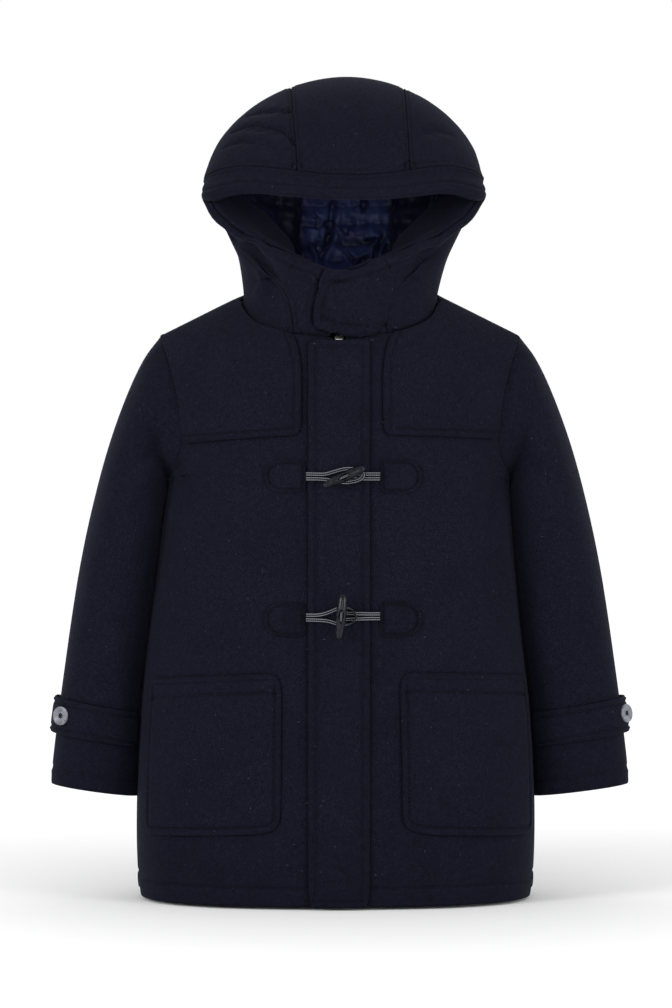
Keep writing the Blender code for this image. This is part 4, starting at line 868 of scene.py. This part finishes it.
ROWS = {
    "placket": [(EDGE_INSET, everywhere)],
    "yoke_left": [(EDGE_INSET, where(lambda x, y, z: x > -48 or z < -131.5 + 0.07 * x))],
    "yoke_right": [(EDGE_INSET, where(lambda x, y, z: x < 52 or z < -133.3 - 0.03 * x))],
    "pocket_left": [(EDGE_INSET, everywhere), (POCKET_HEM, where(lambda x, y, z: z > -366 + 0.064 * x))],
    "pocket_right": [(EDGE_INSET, everywhere), (POCKET_HEM, where(lambda x, y, z: z > -366 - 0.049 * x))],
    "cuff_strap_left": [(STRAP_INSET, everywhere)],
    "cuff_strap_right": [(STRAP_INSET, everywhere)],
    "hood_centre": [
        (0, beside("hood_side_left", "hood_side_right", "hood_band")),
        (GUSSET_INSET, beside("hood_side_left", "hood_side_right")),
        (BAND_INSET, beside("hood_band")),
    ],
    "hood_band": [
        (0, beside(*HOOD_PANELS, "front_left", "front_right")),
        (BAND_INSET, beside(*HOOD_PANELS)),
        (LIP_INSET, lambda point: not on_tab(point) and not by_panels(point)),
    ],
    "back": [
        (0, beside(*SEAMED[1:])),
        (HEM_INSET, at_hem),
        (SHOULDER_INSET, lambda point: point.z > -0.095 and beside("front_left", "front_right")(point)),
    ],
}
for hand in ("left", "right"):
    ROWS["hood_side_" + hand] = [
        (0, beside("hood_centre", "hood_band", *BODY)),
        (GUSSET_INSET, beside("hood_centre")),
        (BAND_INSET, beside("hood_band")),
    ]
    ROWS["front_" + hand] = [
        (0, beside("back", "sleeve_" + hand, "hood_band", "hood_side_left", "hood_side_right")),
        (HEM_INSET, at_hem),
    ]
    ROWS["sleeve_" + hand] = [
        (0, beside("back", "front_" + hand)),
        (CUFF_INSET, where(lambda x, y, z: z < -470)),
    ]
    for place in ("upper_", "lower_"):
        ROWS["patch_" + place + hand] = [(PATCH_INSET, everywhere)]
stitching = {node: topstitch(node, rows) for node, rows in ROWS.items()}

# The throat tab laps over the other side of the neck, with its own row of stitches (x and height)
TAB_EDGE = (
    (-13, 26), (-16.8, 21), (-20.4, 14), (-23, 3), (-25.4, -9.6), (-26.8, -20), (-26.4, -28), (-22, -33.5),
    (-14, -36.6), (0, -39),
)
TAB_SEAM = (
    (14, 12), (-4, 11.4), (-10.6, 9), (-14.4, -1), (-17.4, -14), (-18.4, -22), (-14, -25.6), (2, -28.6),
    (22, -31.6), (44, -29.5),
)
TAB_MIDDLE = (10, -12)


def tab_side(place):
    """1 on the tab's side of its edge, and 0 beyond it."""
    near = min(TAB_EDGE, key=lambda mark: math.hypot(mark[0] - place.x, mark[1] - place.z))
    across = (place.x - near[0]) * (TAB_MIDDLE[0] - near[0])
    return 1.0 if across + (place.z - near[1]) * (TAB_MIDDLE[1] - near[1]) > 0 else 0.0


def press_line(node, route, depth, width, rise=0.0):
    """Presses a narrow line into a panel along a route that is seen from the front. Where rise is
    given, the cloth stands up that much beside the line, on the side that holds the tab."""

    def lift(away, vertex):
        beside_line = 0.0
        if rise and vertex.normal.y < 0:
            beside_line = rise * hump(away, 2.2 * width, 1.2 * width) * tab_side(vertex.co / MM)
        return beside_line - depth * hump(away, 0, width)

    line = [mark[0] for mark in fold_line(node, "front", route) if mark is not None]
    mesh, _ = lift_along(node, line, -1.0, 3 * width + (SEAM_SIDE if rise else 1.0), lift)
    put_back(mesh, pieces[node].data)


# Sharp creases on the hood's crown, then the tab
press_line("hood_side_left", ((-106, 163), (-88, 168), (-70, 165), (-54, 158), (-44, 146)), 1.8, 2.0)
press_line("hood_side_left", ((-92, 180), (-74, 182.5), (-58, 182), (-44, 181)), 1.4, 1.8)
press_line("hood_side_left", ((-114, 146), (-100, 150), (-84, 149)), 1.0, 1.8)
press_line("hood_side_right", ((112, 158), (98, 161), (84, 158)), 0.8, 2.0)
press_line("hood_band", TAB_EDGE, 2.6, 1.2, rise=1.3)
press_line("hood_band", TAB_SEAM, 1.5 * FURROW_DEPTH, FURROW_WIDTH)
for node in ("hood_band", "hood_side_left", "hood_side_right"):
    select_only(pieces[node])
    bpy.ops.object.shade_smooth()
found = [mark for mark in fold_line("hood_band", "front", TAB_SEAM) if mark is not None]
tab_stitches = stitch_mesh("stitching_throat_tab", [tuple(np.array(part) for part in zip(*found))])

# Every panel was cut flat: its width and length and its area, in metres, and what it is laid on
SHEETS = {
    "back": ((0.53, 0.62), 0.29, ()),
    "front_*": ((0.26, 0.62), 0.13, ()),
    "yoke_*": ((0.135, 0.15), 0.018, ("front_*",)),
    "sleeve_*": ((0.345, 0.47), 0.125, ()),
    "placket": ((0.058, 0.56), 0.0322, ("front_left", "front_right")),
    "pocket_*": ((0.15, 0.165), 0.0242, ("front_*",)),
    "cuff_strap_*": ((0.136, 0.038), 0.0051, ("sleeve_*",)),
    "hood_side_*": ((0.25, 0.29), 0.047, ()),
    "hood_centre": ((0.12, 0.45), 0.0472, ()),
    "hood_band": ((0.04, 0.66), 0.0235, ()),
    "hood_facing": ((0.065, 0.65), 0.036, ()),
    "patch_upper_*": ((0.0345, 0.038), 0.00125, ("front_*",)),
    "patch_lower_*": ((0.0345, 0.038), 0.00125, ("front_*",)),
}
for kind, (flat, area, below) in SHEETS.items():
    for hand in ("left", "right") if "*" in kind else ("",):
        node = kind.replace("*", hand)
        sewn = [stitching[node]] if stitching.get(node) else []
        if node == "hood_band":
            sewn.append(tab_stitches)
        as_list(sewn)

# ---------------------------------------------------------------- hood lining
# Thin navy nylon, quilted to a light wadding in level channels, in three panels. The wadding puffs
# between the lines of stitching and puckers beside them.

CLOTH_CLOUD = 30.0
CRUSH_SIZE = 5.0
SHUT_REACH = 14.0  # painted shade darkens the nylon where it lies this near to itself
CHANNEL = 20.0
CHANNEL_START = 3.7
PUFF = 5.5
# Depth, size across and size up of the wadding's slip, of puckers, wide drapes and fine crinkles
SLIP, SLIP_SIZE = 3.0, 60
PUCKER, PUCKER_SIZE, PUCKER_TALL = 2.6, 7, 30
DRAPE, DRAPE_SIZE, DRAPE_TALL = 5.0, 30, 20
CRINKLE, CRINKLE_SIZE, CRINKLE_TALL = 1.6, 9, 20
SEAM_COLUMNS = ((-40.0, 7.0, 9.0), (50.0, 7.0, 9.0))  # x, half width, depth of each panel seam
LINING_BASE = 5.0
LINING_LEAST = -1.0
LINING_HELD = 42.0
PANEL_MIDDLE = 6.0  # the middle panel, left lit while painted shade darkens the side panels; all three are one navy
PANEL_HALF = 43.0
# What painted shade leaves of the side panels' brightness, standing in for the hood's own shadow
SIDE_SHADE = 0.15
HOOD_MIDDLE = Vector((0.005, 0.01, 0.09))
# What shows through the face opening
SHOWN_LEFT, SHOWN_RIGHT, SHOWN_FRONT, SHOWN_LOW, SHOWN_TOP = -48, 55, 20, 15, 120
FRONT_NEAR = 8.0
FRONT_FALL = 11.0  # how soon the lining falls back behind the facing that it is sewn to


def clouded(tree, place, size, detail, twist, *stops):
    """A cloudy run between two colours. Each stop is a place on the run and a colour."""
    cloud = add_node(
        tree, "TexNoise", [("Vector", place)], in_Scale=1 / (size * MM), in_Detail=detail, in_Distortion=twist
    )
    colour = add_node(tree, "ValToRGB", [("Fac", cloud)])
    for stop, (position, tone) in zip(colour.color_ramp.elements, stops):
        stop.position, stop.color = position, linear(tone)
    return colour.outputs["Color"]


def nylon_material():
    """Calendered nylon taffeta: a close plain weave pressed to a soft sheen. Painted shade darkens
    its hollows and its side panels.
    """
    material, shader, tree, place = new_material(
        "quilted_nylon", Roughness=0.5, Specular_IOR_Level=0.25, Sheen_Weight=0.1, Sheen_Roughness=0.3
    )
    colour = clouded(tree, place, CLOTH_CLOUD, 3.0, 0.0, (0.3, "#232b56"), (0.7, "#3d4779"))
    # Painted shade where the nylon lies near itself, in its creases and channels
    shut = add_node(tree, "AmbientOcclusion", samples=8, in_Distance=SHUT_REACH * MM).outputs["AO"]
    shut = add_node(tree, "MapRange", [("Value", shut)], in_1=0.35, in_2=0.95, in_3=0.12, in_4=1.0)
    # Painted shade on the side panels, standing in for the shadow that the hood's sides cast
    aside = add_node(tree, "SeparateXYZ", [("Vector", place)])
    aside = add_node(tree, "Math", [(0, aside)], operation="SUBTRACT", in_1=PANEL_MIDDLE * MM)
    aside = add_node(tree, "Math", [(0, aside)], operation="ABSOLUTE")
    panel = add_node(
        tree, "MapRange", [("Value", aside)], interpolation_type="SMOOTHSTEP", in_1=(PANEL_HALF - 3) * MM,
        in_2=(PANEL_HALF + 6) * MM, in_3=1.0, in_4=SIDE_SHADE,
    )
    shade = add_node(tree, "Math", [(0, shut), (1, panel)], operation="MULTIPLY")
    add_node(
        tree, "VectorMath", [(0, colour), ("Scale", shade)], operation="SCALE", feeds=(shader, "Base Color")
    )
    crush = add_node(
        tree, "TexNoise", [("Vector", place)], in_Scale=1 / (CRUSH_SIZE * MM), in_Detail=4.0,
        in_Distortion=0.6,
    )
    add_node(tree, "Bump", [("Height", crush)], feeds=(shader, "Normal"), in_Strength=0.4, in_Distance=1 * MM)
    return material


lining = copy_of("hood_lining", "nylon_lining", nylon_material())
pieces["hood_lining"] = lining
edges_of["hood_lining"] = mark_sides(lining)
lining_edge = tree_of(edges_of["hood_lining"])
lining_front = tree_of([
    point for point in edges_of["hood_lining"] if facing_edge.find(point)[2] < FRONT_NEAR * MM
])
smooth_panel(lining, 3)
for vertex in lining.data.vertices:
    sewn, _, away = lining_front.find(vertex.co)
    vertex.co += stand_in(sewn) * (1 - eased(away / MM / FRONT_FALL))
lining.data.update()
mesh = opened(lining.data)
side = mesh.faces.layers.int["side"]
shown_edges = set()
for face in mesh.faces:
    middle = face.calc_center_median()
    x, y, z = middle / MM
    shown = SHOWN_LEFT < x < SHOWN_RIGHT and y > SHOWN_FRONT and SHOWN_LOW < z < SHOWN_TOP
    if shown and face[side] != RIM and face.normal.dot(HOOD_MIDDLE - middle) > 0:
        shown_edges.update(face.edges)
bmesh.ops.subdivide_edges(mesh, edges=list(shown_edges), cuts=1, use_grid_fill=True)
mesh.normal_update()
moved = []
for vertex in mesh.verts:
    if any(face[side] == RIM for face in vertex.link_faces):
        continue
    if vertex.normal.dot(HOOD_MIDDLE - vertex.co) < 0:
        continue
    x, y, z = vertex.co / MM
    held = min(1.0, lining_edge.find(vertex.co)[2] / MM / LINING_HELD) ** 1.6
    slip = SLIP * noise.noise(Vector((x / SLIP_SIZE, y / SLIP_SIZE, 0.3)))
    phase = (z - CHANNEL_START + slip) / CHANNEL
    nearness = abs(phase - round(phase)) * 2
    puff = PUFF * nearness**0.45
    pucker = noise.noise(Vector((x / PUCKER_SIZE, y / PUCKER_SIZE, z / PUCKER_TALL)))
    pucker = PUCKER * pucker * (1.3 - nearness)
    drape = DRAPE * noise.noise(Vector((x / DRAPE_SIZE, y / DRAPE_SIZE, z / DRAPE_TALL + 4)))
    crinkle = Vector(((x + z) / CRINKLE_SIZE, y / CRINKLE_SIZE, (z - 0.6 * x) / CRINKLE_TALL))
    crinkle = CRINKLE * noise.noise(crinkle)
    valley = 0.0
    if y > 0:
        for column, half, depth in SEAM_COLUMNS:
            valley += depth * hump(x, column + 4 * noise.noise(Vector((z / 30, column, 0))), half)
    lift = max(LINING_LEAST, (LINING_BASE + puff + pucker + drape + crinkle) * held - valley)
    moved.append((vertex, vertex.normal * lift * MM))
for vertex, way in moved:
    vertex.co += way
put_back(mesh, lining.data)

# The creases that show through the face opening, and the neck's folds: depth, width and line
CREASES = (
    (6.0, 3.2, (-7, 109), (-9, 90), (-12, 69), (-18, 53), (-21, 36)),
    (3.2, 2.4, (24.5, 110), (23.5, 95)),
    (4.0, 2.6, (-36, 83), (-22, 82), (-10, 86)),
    (5.0, 2.6, (-4, 64), (10, 62), (29, 65), (45, 67)),
    (3.6, 2.0, (-28, 69), (-24, 57), (-19, 49)),
    (3.2, 2.0, (4, 58), (10, 50), (16, 38)),
    (4.2, 1.9, (12, 32), (20, 43), (33, 53)),
    (3.2, 1.9, (18, 30), (27, 41), (38, 50)),
    (5.5, 2.4, (47, 73), (38, 58), (34, 42)),
    (3.0, 2.0, (-31, 101), (-26, 92), (-20, 87)),
    (2.4, 1.7, (-4, 80), (0, 73), (4, 66)),
    (2.4, 1.7, (12, 84), (6, 75), (3, 67)),
    (2.2, 1.7, (-2, 84), (4, 76), (12, 72)),
    (2.6, 2.2, (-34, 60), (-29, 50), (-25, 40)),
    (6.5, 10.0, *NECK_FOLD_LEFT),
    (4.4, 10.0, *NECK_FOLD_RIGHT),
)
for crease in CREASES:
    press_fold("hood_lining", "front", *crease)
select_only(lining)
bpy.ops.object.shade_smooth()

# ---------------------------------------------------------------- frog loops and toggle cords
# Flat braided cord, dark with two pale stripes. The loops run from the left patches round behind the
# toggles; the toggles hang on short cords of their own, which go in one hole and out of the other.

BRAID_WIDTH = 4.2
BRAID_THICK = 1.6
BRAID_PITCH = 1.9
BRAID_SIDES = 16
STRIPE_PLACE = 0.5
STRIPE_HALF = 0.13
PLACKET_RISE = 3.7


def braid_material():
    """Braided polyester: narrow slanted yarns that shine a little, with two paler bands."""
    material, shader, tree, _ = new_material(
        "striped_braid", Roughness=0.55, Specular_IOR_Level=0.12, Sheen_Weight=0.03
    )
    parts = add_node(tree, "SeparateXYZ", [("Vector", add_node(tree, "UVMap", uv_map="braid"))])
    outward = add_node(tree, "Math", [(0, parts.outputs["X"])], operation="ABSOLUTE")
    away = add_node(tree, "Math", [(0, outward)], operation="SUBTRACT", in_1=STRIPE_PLACE)
    away = add_node(tree, "Math", [(0, away)], operation="ABSOLUTE")
    stripe = add_node(
        tree, "MapRange", [("Value", away)], in_1=STRIPE_HALF, in_2=STRIPE_HALF * 1.35, in_3=1.0, in_4=0.0
    )
    slant = add_node(tree, "Math", [(0, outward)], operation="MULTIPLY", in_1=0.9)
    phase = add_node(tree, "Math", [(0, parts.outputs["Y"]), (1, slant)], operation="ADD")
    phase = add_node(tree, "Math", [(0, phase)], operation="MULTIPLY", in_1=2 * math.pi / BRAID_PITCH)
    yarn = add_node(tree, "Math", [(0, phase)], operation="SINE")
    shade = add_node(tree, "MapRange", [("Value", yarn)], in_1=-1.0, in_2=1.0, in_3=0.55, in_4=1.0)
    colour = add_node(
        tree, "Mix", [(0, stripe)], data_type="RGBA", in_6=linear("#090a10"), in_7=linear("#74767e")
    ).outputs[2]
    add_node(
        tree, "VectorMath", [(0, colour), ("Scale", shade)], operation="SCALE", feeds=(shader, "Base Color")
    )
    add_node(
        tree, "Bump", [("Height", yarn)], feeds=(shader, "Normal"), in_Strength=0.5, in_Distance=0.25 * MM
    )
    return material


braid = braid_material()


def cad_tree(*nodes):
    """A search tree of CAD nodes' faces."""
    mesh = bmesh.new()
    for node in nodes:
        mesh.from_mesh(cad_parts[node].data)
    tree = bvhtree.BVHTree.FromBMesh(mesh)
    mesh.free()
    return tree


def seen_at(tree, x, z):
    """The point of a tree's faces that is seen from the front at x and z, or None."""
    return tree.ray_cast(Vector((x * MM, -0.3, z * MM)), Vector((0, 1, 0)))[0]


flat_fronts = cad_tree("front_left", "front_right")
flat_placket = cad_tree("placket")


def over_front(x, z, lift):
    """A point in front of the coat's front at x and z, lifted off it, in metres."""
    on_placket = seen_at(flat_placket, x, z)
    y = on_placket.y + PLACKET_RISE * MM if on_placket is not None else seen_at(flat_fronts, x, z).y
    return Vector((x * MM, y - lift * MM, z * MM))


def tube(mesh, rings):
    """Faces of a tube through rings of points, closed at both ends, and the rings' new vertices."""
    rings = [[mesh.verts.new(point) for point in ring] for ring in rings]
    for low, high in zip(rings, rings[1:]):
        for k in range(len(low)):
            after = (k + 1) % len(low)
            mesh.faces.new((low[k], low[after], high[after], high[k]))
    mesh.faces.new(reversed(rings[0]))
    mesh.faces.new(rings[-1])
    return rings


def flat_braid(name, node, points, flats, widths):
    """A flat braid along points, its flat side across each row of flats, with its own UV map."""
    circle = [2 * math.pi * k / BRAID_SIDES for k in range(BRAID_SIDES)]
    section = [
        (math.copysign(abs(math.cos(turn)) ** 0.7, math.cos(turn)),
         math.copysign(abs(math.sin(turn)) ** 0.8, math.sin(turn)))
        for turn in circle
    ]
    tangents = unit(np.gradient(points, axis=0))
    flats = unit(flats - (flats * tangents).sum(axis=1, keepdims=True) * tangents)
    ups = np.cross(tangents, flats)
    lengths = measured(points) / MM
    mesh = bmesh.new()
    uv = mesh.loops.layers.uv.new("braid")
    rings = tube(mesh, [
        [point + flat * u * width / 2 * MM + up * v * BRAID_THICK / 2 * MM for u, v in section]
        for point, flat, up, width in zip(points, flats, ups, widths)
    ])
    spots = {
        vertex: (section[corner][0], lengths[row])
        for row, ring in enumerate(rings) for corner, vertex in enumerate(ring)
    }
    for face in mesh.faces:
        if len(face.verts) == 4:
            for loop in face.loops:
                loop[uv].uv = spots[loop.vert]
    bmesh.ops.recalc_face_normals(mesh, faces=mesh.faces)
    data = bpy.data.meshes.new(name)
    put_back(mesh, data)
    piece = new_piece(name, data, braid)
    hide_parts(node)


# x, height, lift off the front, and how far the flat side has turned on edge (1 is fully)
LOOP_ROUTES = {
    "loop_upper": [
        (-32.5, -175.0, 3.4, 0), (-30.6, -175.0, 4.9, 0), (-22, -175.2, 4.9, 0), (-14, -175.0, 4.9, 0),
        (-6, -172.8, 4.9, 0), (4, -170.2, 5.1, 0), (14, -170.2, 6.7, 0), (20.4, -172.6, 7.0, 0),
        (22.2, -176.6, 7.0, 0), (18, -180.8, 7.0, 0), (9, -183.0, 5.4, 0), (0, -182.8, 4.9, 0),
        (-10, -180.8, 4.9, 0), (-20, -179.8, 4.9, 0), (-30.6, -179.7, 4.9, 0), (-32.5, -179.7, 3.4, 0),
    ],
    "loop_lower": [
        (-32.5, -311.3, 3.4, 0), (-30.6, -311.3, 4.9, 0), (-20, -311.0, 4.9, 0), (-11, -308.6, 4.9, 0),
        (-3, -305.4, 4.9, 0.1), (6, -304.6, 6.3, 0.6), (12.5, -307.2, 8.4, 1), (15.4, -312.5, 8.6, 1),
        (12.5, -317.6, 8.4, 1), (6, -320.0, 6.3, 0.6), (-3, -319.4, 4.9, 0.1), (-11, -317.2, 4.9, 0),
        (-20, -316.2, 4.9, 0), (-30.6, -315.9, 4.9, 0), (-32.5, -315.9, 3.4, 0),
    ],
}
LOOP_STEPS = 140
OUT = np.array([0.0, -1.0, 0.0])
for node, route in LOOP_ROUTES.items():
    rows = spline_through(route, LOOP_STEPS)
    points = np.array([over_front(x, z, lift) for x, z, lift, _ in rows])
    level = unit(np.cross(np.gradient(points, axis=0), OUT))
    turn = np.clip(rows[:, 3:], 0, 1) * math.pi / 2
    flats = level * np.cos(turn) + OUT * np.sin(turn)
    flat_braid("braid_" + node, node, points, flats, [BRAID_WIDTH] * LOOP_STEPS)

HOLE_STEP = 4.2
CORD_GAP = 2.3
BRIDGE_SHARE = 0.72
CORD_STEPS = 160
TOGGLES = {
    # x and height of the middle, way from the thin end to the thick end, height of its cord's ends
    "toggle_upper": (3.7, -178.0, (38.6, 17.4), -177.4),
    "toggle_lower": (0.9, -312.5, (4.3, 44.3), -312.4),
}
for node, (x, height, way, end_height) in TOGGLES.items():
    way = unit(np.array(way))
    strands = []  # rows of x, height, lift and width, from the patch into each hole
    for turn in (1, -1):
        hole_x, hole_z = x + turn * way[0] * HOLE_STEP, height + turn * way[1] * HOLE_STEP
        z = end_height + turn * CORD_GAP
        strands.append([
            (38.1, z, 3.2, 4.2), (36.2, z, 4.9, 4.2), (28, z, 4.9, 4.2),
            (hole_x + 8, z + (hole_z - z) * 0.3, 4.9, 4.0),
            (hole_x + 3.4, hole_z + (z - hole_z) * 0.2, 5.2, 3.2), (hole_x + 0.9, hole_z, 6.8, 2.4),
            (hole_x, hole_z, 9.0, 2.1), (hole_x, hole_z, 13.0, 2.1), (hole_x, hole_z, 17.2, 2.1),
        ])
    dx, dz = way * HOLE_STEP * BRIDGE_SHARE
    bridge = [(x + dx, height + dz, 18.7, 2.1), (x, height, 18.9, 2.3), (x - dx, height - dz, 18.7, 2.1)]
    rows = spline_through(strands[0] + bridge + strands[1][::-1], CORD_STEPS)
    points = np.array([over_front(*row[:3]) for row in rows])
    flats = np.tile([0.0, 0.0, 1.0], (CORD_STEPS, 1))
    flats[rows[:, 2] > 6.0] = (-way[1], 0.0, way[0])
    flat_braid("braid_" + node, node.replace("toggle", "toggle_cord"), points, flats, rows[:, 3])

# ---------------------------------------------------------------- toggles
# Horn-shaped toggles of cast resin, almost black, polished so that long highlights run down them.
# A scooped hollow holds the bridge of their cord, which goes through two holes.

STREAK_SIZE = 7.0


def horn_material():
    """Polished cast resin, like horn: nearly black with faint brown-grey streaks along it."""
    material, shader, tree, place = new_material("polished_horn", Roughness=0.2, Specular_IOR_Level=0.16)
    colour = clouded(tree, place, STREAK_SIZE, 4.0, 1.2, (0.35, "#06060a"), (0.8, "#1c1c26"))
    tree.links.new(colour, shader.inputs["Base Color"])
    return material


horn = horn_material()
for node in ("toggle_upper", "toggle_lower"):
    smooth_panel(copy_of(node, "horn_" + node, horn), 2)

# ---------------------------------------------------------------- cuff buttons
# Four-hole buttons of grey polyester with a raised rim and a soft pearly cloud in them, sewn on with
# thread that crosses in the middle.

CLOUD_SIZE = 4.0
HOLE_PLACE = 2.6
THREAD_LIFT = 0.35
THREAD_THICK = 0.6
THREAD_BOW = 0.45
THREAD_SIDES = 8
BUTTON_TURN = math.radians(16)  # it hangs a little loose on its thread, and faces the front more
BUTTON_SHIFT = (2.0, -1.8)


def button_material():
    """Cast polyester button: pale grey, cloudy, and polished."""
    material, shader, tree, place = new_material("grey_button", Roughness=0.28, Specular_IOR_Level=0.2)
    colour = clouded(tree, place, CLOUD_SIZE, 4.0, 0.8, (0.3, "#55555e"), (0.72, "#7c7b84"))
    tree.links.new(colour, shader.inputs["Base Color"])
    return material


def bevelled(piece, width, segments, angle):
    """Rounds a hard piece's edges that are sharper than an angle."""
    select_only(piece)
    bevel = piece.modifiers.new("rounded", "BEVEL")
    bevel.width = width * MM
    bevel.segments = segments
    bevel.limit_method = "ANGLE"
    bevel.angle_limit = math.radians(angle)
    bpy.ops.object.modifier_apply(modifier="rounded")
    bpy.ops.object.shade_smooth_by_angle(angle=math.radians(35))


button_grey = button_material()
for node in ("cuff_button_left", "cuff_button_right"):
    button = copy_of(node, "polyester_" + node, button_grey)
    bevelled(button, 0.3, 2, 40)
    places = coordinates(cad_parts[node].data)
    centre = places.mean(axis=0)
    out = np.linalg.svd(places - centre)[2][2]
    out = out * np.sign(out[1]) * -1
    middle = Vector(centre)
    hand = math.copysign(1, middle.x)
    tilt = Matrix.Rotation(-hand * BUTTON_TURN, 4, "Z")
    nudge = Vector((-hand * BUTTON_SHIFT[0], BUTTON_SHIFT[1], 0)) * MM
    button.data.transform(Matrix.Translation(middle + nudge) @ tilt @ Matrix.Translation(-middle))
    out = np.array(tilt @ Vector(out))
    up = unit(np.array([0.0, 0.0, 1.0]) - out * out[2])
    level = np.cross(up, out)
    face = centre + np.array(nudge) + out * THREAD_LIFT * MM
    mesh = bmesh.new()
    for turn in (1, -1):
        arm = (up + turn * level) / math.sqrt(2) * HOLE_PLACE * MM
        points = np.array([
            face + arm * share + out * THREAD_BOW * (1 - share**2) * MM for share in np.linspace(-1, 1, 9)
        ])
        tangents = unit(np.gradient(points, axis=0))
        guides = unit(np.cross(tangents, (0.31, 0.87, 0.39)))
        circle = [2 * math.pi * k / THREAD_SIDES for k in range(THREAD_SIDES)]
        tube(mesh, [
            [point + (guide * math.cos(k) + other * math.sin(k)) * THREAD_THICK * MM for k in circle]
            for point, guide, other in zip(points, guides, np.cross(tangents, guides))
        ])
    bmesh.ops.recalc_face_normals(mesh, faces=mesh.faces)
    data = bpy.data.meshes.new("thread_" + node)
    put_back(mesh, data)
    new_piece("thread_" + node, data, thread)

# ---------------------------------------------------------------- zip
# A nickel-plated metal zip on woven black tape: a slider at its top, its pull, and two rows of teeth
# that close it down to the hem behind the placket.

TOOTH_PITCH = 2.5
TOOTH_SIZE = (3.2, 1.1, 1.35)  # wide, deep, tall
TOOTH_ASIDE, TOOTH_OUT = 0.3, 0.35  # shares of its width and depth that a tooth stands aside and out
TOOTH_TOP, TOOTH_LOW = -54.0, -583.0
ZIP_MIDDLE = -1.0


def nickel_material():
    """Bright nickel plate with fine wear from polishing."""
    material, shader, tree, place = new_material("nickel_plate", Metallic=1.0, Base_Color=linear("#d0cdc6"))
    wear = add_node(tree, "TexNoise", [("Vector", place)], in_Scale=1 / (1.5 * MM), in_Detail=3.0)
    add_node(
        tree, "MapRange", [("Value", wear)], feeds=(shader, "Roughness"), in_1=0.3, in_2=0.7, in_3=0.16,
        in_4=0.34,
    )
    return material


def tape_material():
    """Woven polyester tape: fine level ribs of black yarn."""
    material, shader, tree, place = new_material(
        "zip_tape_weave", Base_Color=linear("#0b0b11"), Roughness=0.8, Specular_IOR_Level=0.2,
        Sheen_Weight=0.1,
    )
    ribs = add_node(tree, "TexWave", [("Vector", place)], bands_direction="Z", in_Scale=1 / (6 * MM))
    add_node(
        tree, "Bump", [("Height", ribs.outputs["Fac"])], feeds=(shader, "Normal"), in_Strength=0.4,
        in_Distance=0.2 * MM,
    )
    return material


nickel = nickel_material()
for node in ("zip_slider", "zip_pull"):
    bevelled(copy_of(node, "nickel_" + node, nickel), 0.22, 3, 30)
copy_of("zip_tape", "woven_zip_tape", tape_material())

tape_front = cad_tree("zip_tape")
mesh = bmesh.new()
for number in range(int((TOOTH_TOP - TOOTH_LOW) / TOOTH_PITCH * 2)):
    height = TOOTH_TOP - number * TOOTH_PITCH / 2
    x = ZIP_MIDDLE + (-1 if number % 2 else 1) * TOOTH_SIZE[0] * TOOTH_ASIDE
    found = seen_at(tape_front, x, height)
    if found is not None:
        place = Matrix.Translation((x * MM, found.y - TOOTH_SIZE[1] * TOOTH_OUT * MM, height * MM))
        size = Matrix.Diagonal((*[length * MM for length in TOOTH_SIZE], 1))
        bmesh.ops.create_cube(mesh, size=1.0, matrix=place @ size)
data = bpy.data.meshes.new("nickel_zip_teeth")
put_back(mesh, data)
new_piece("nickel_zip_teeth", data, nickel, smooth=False)
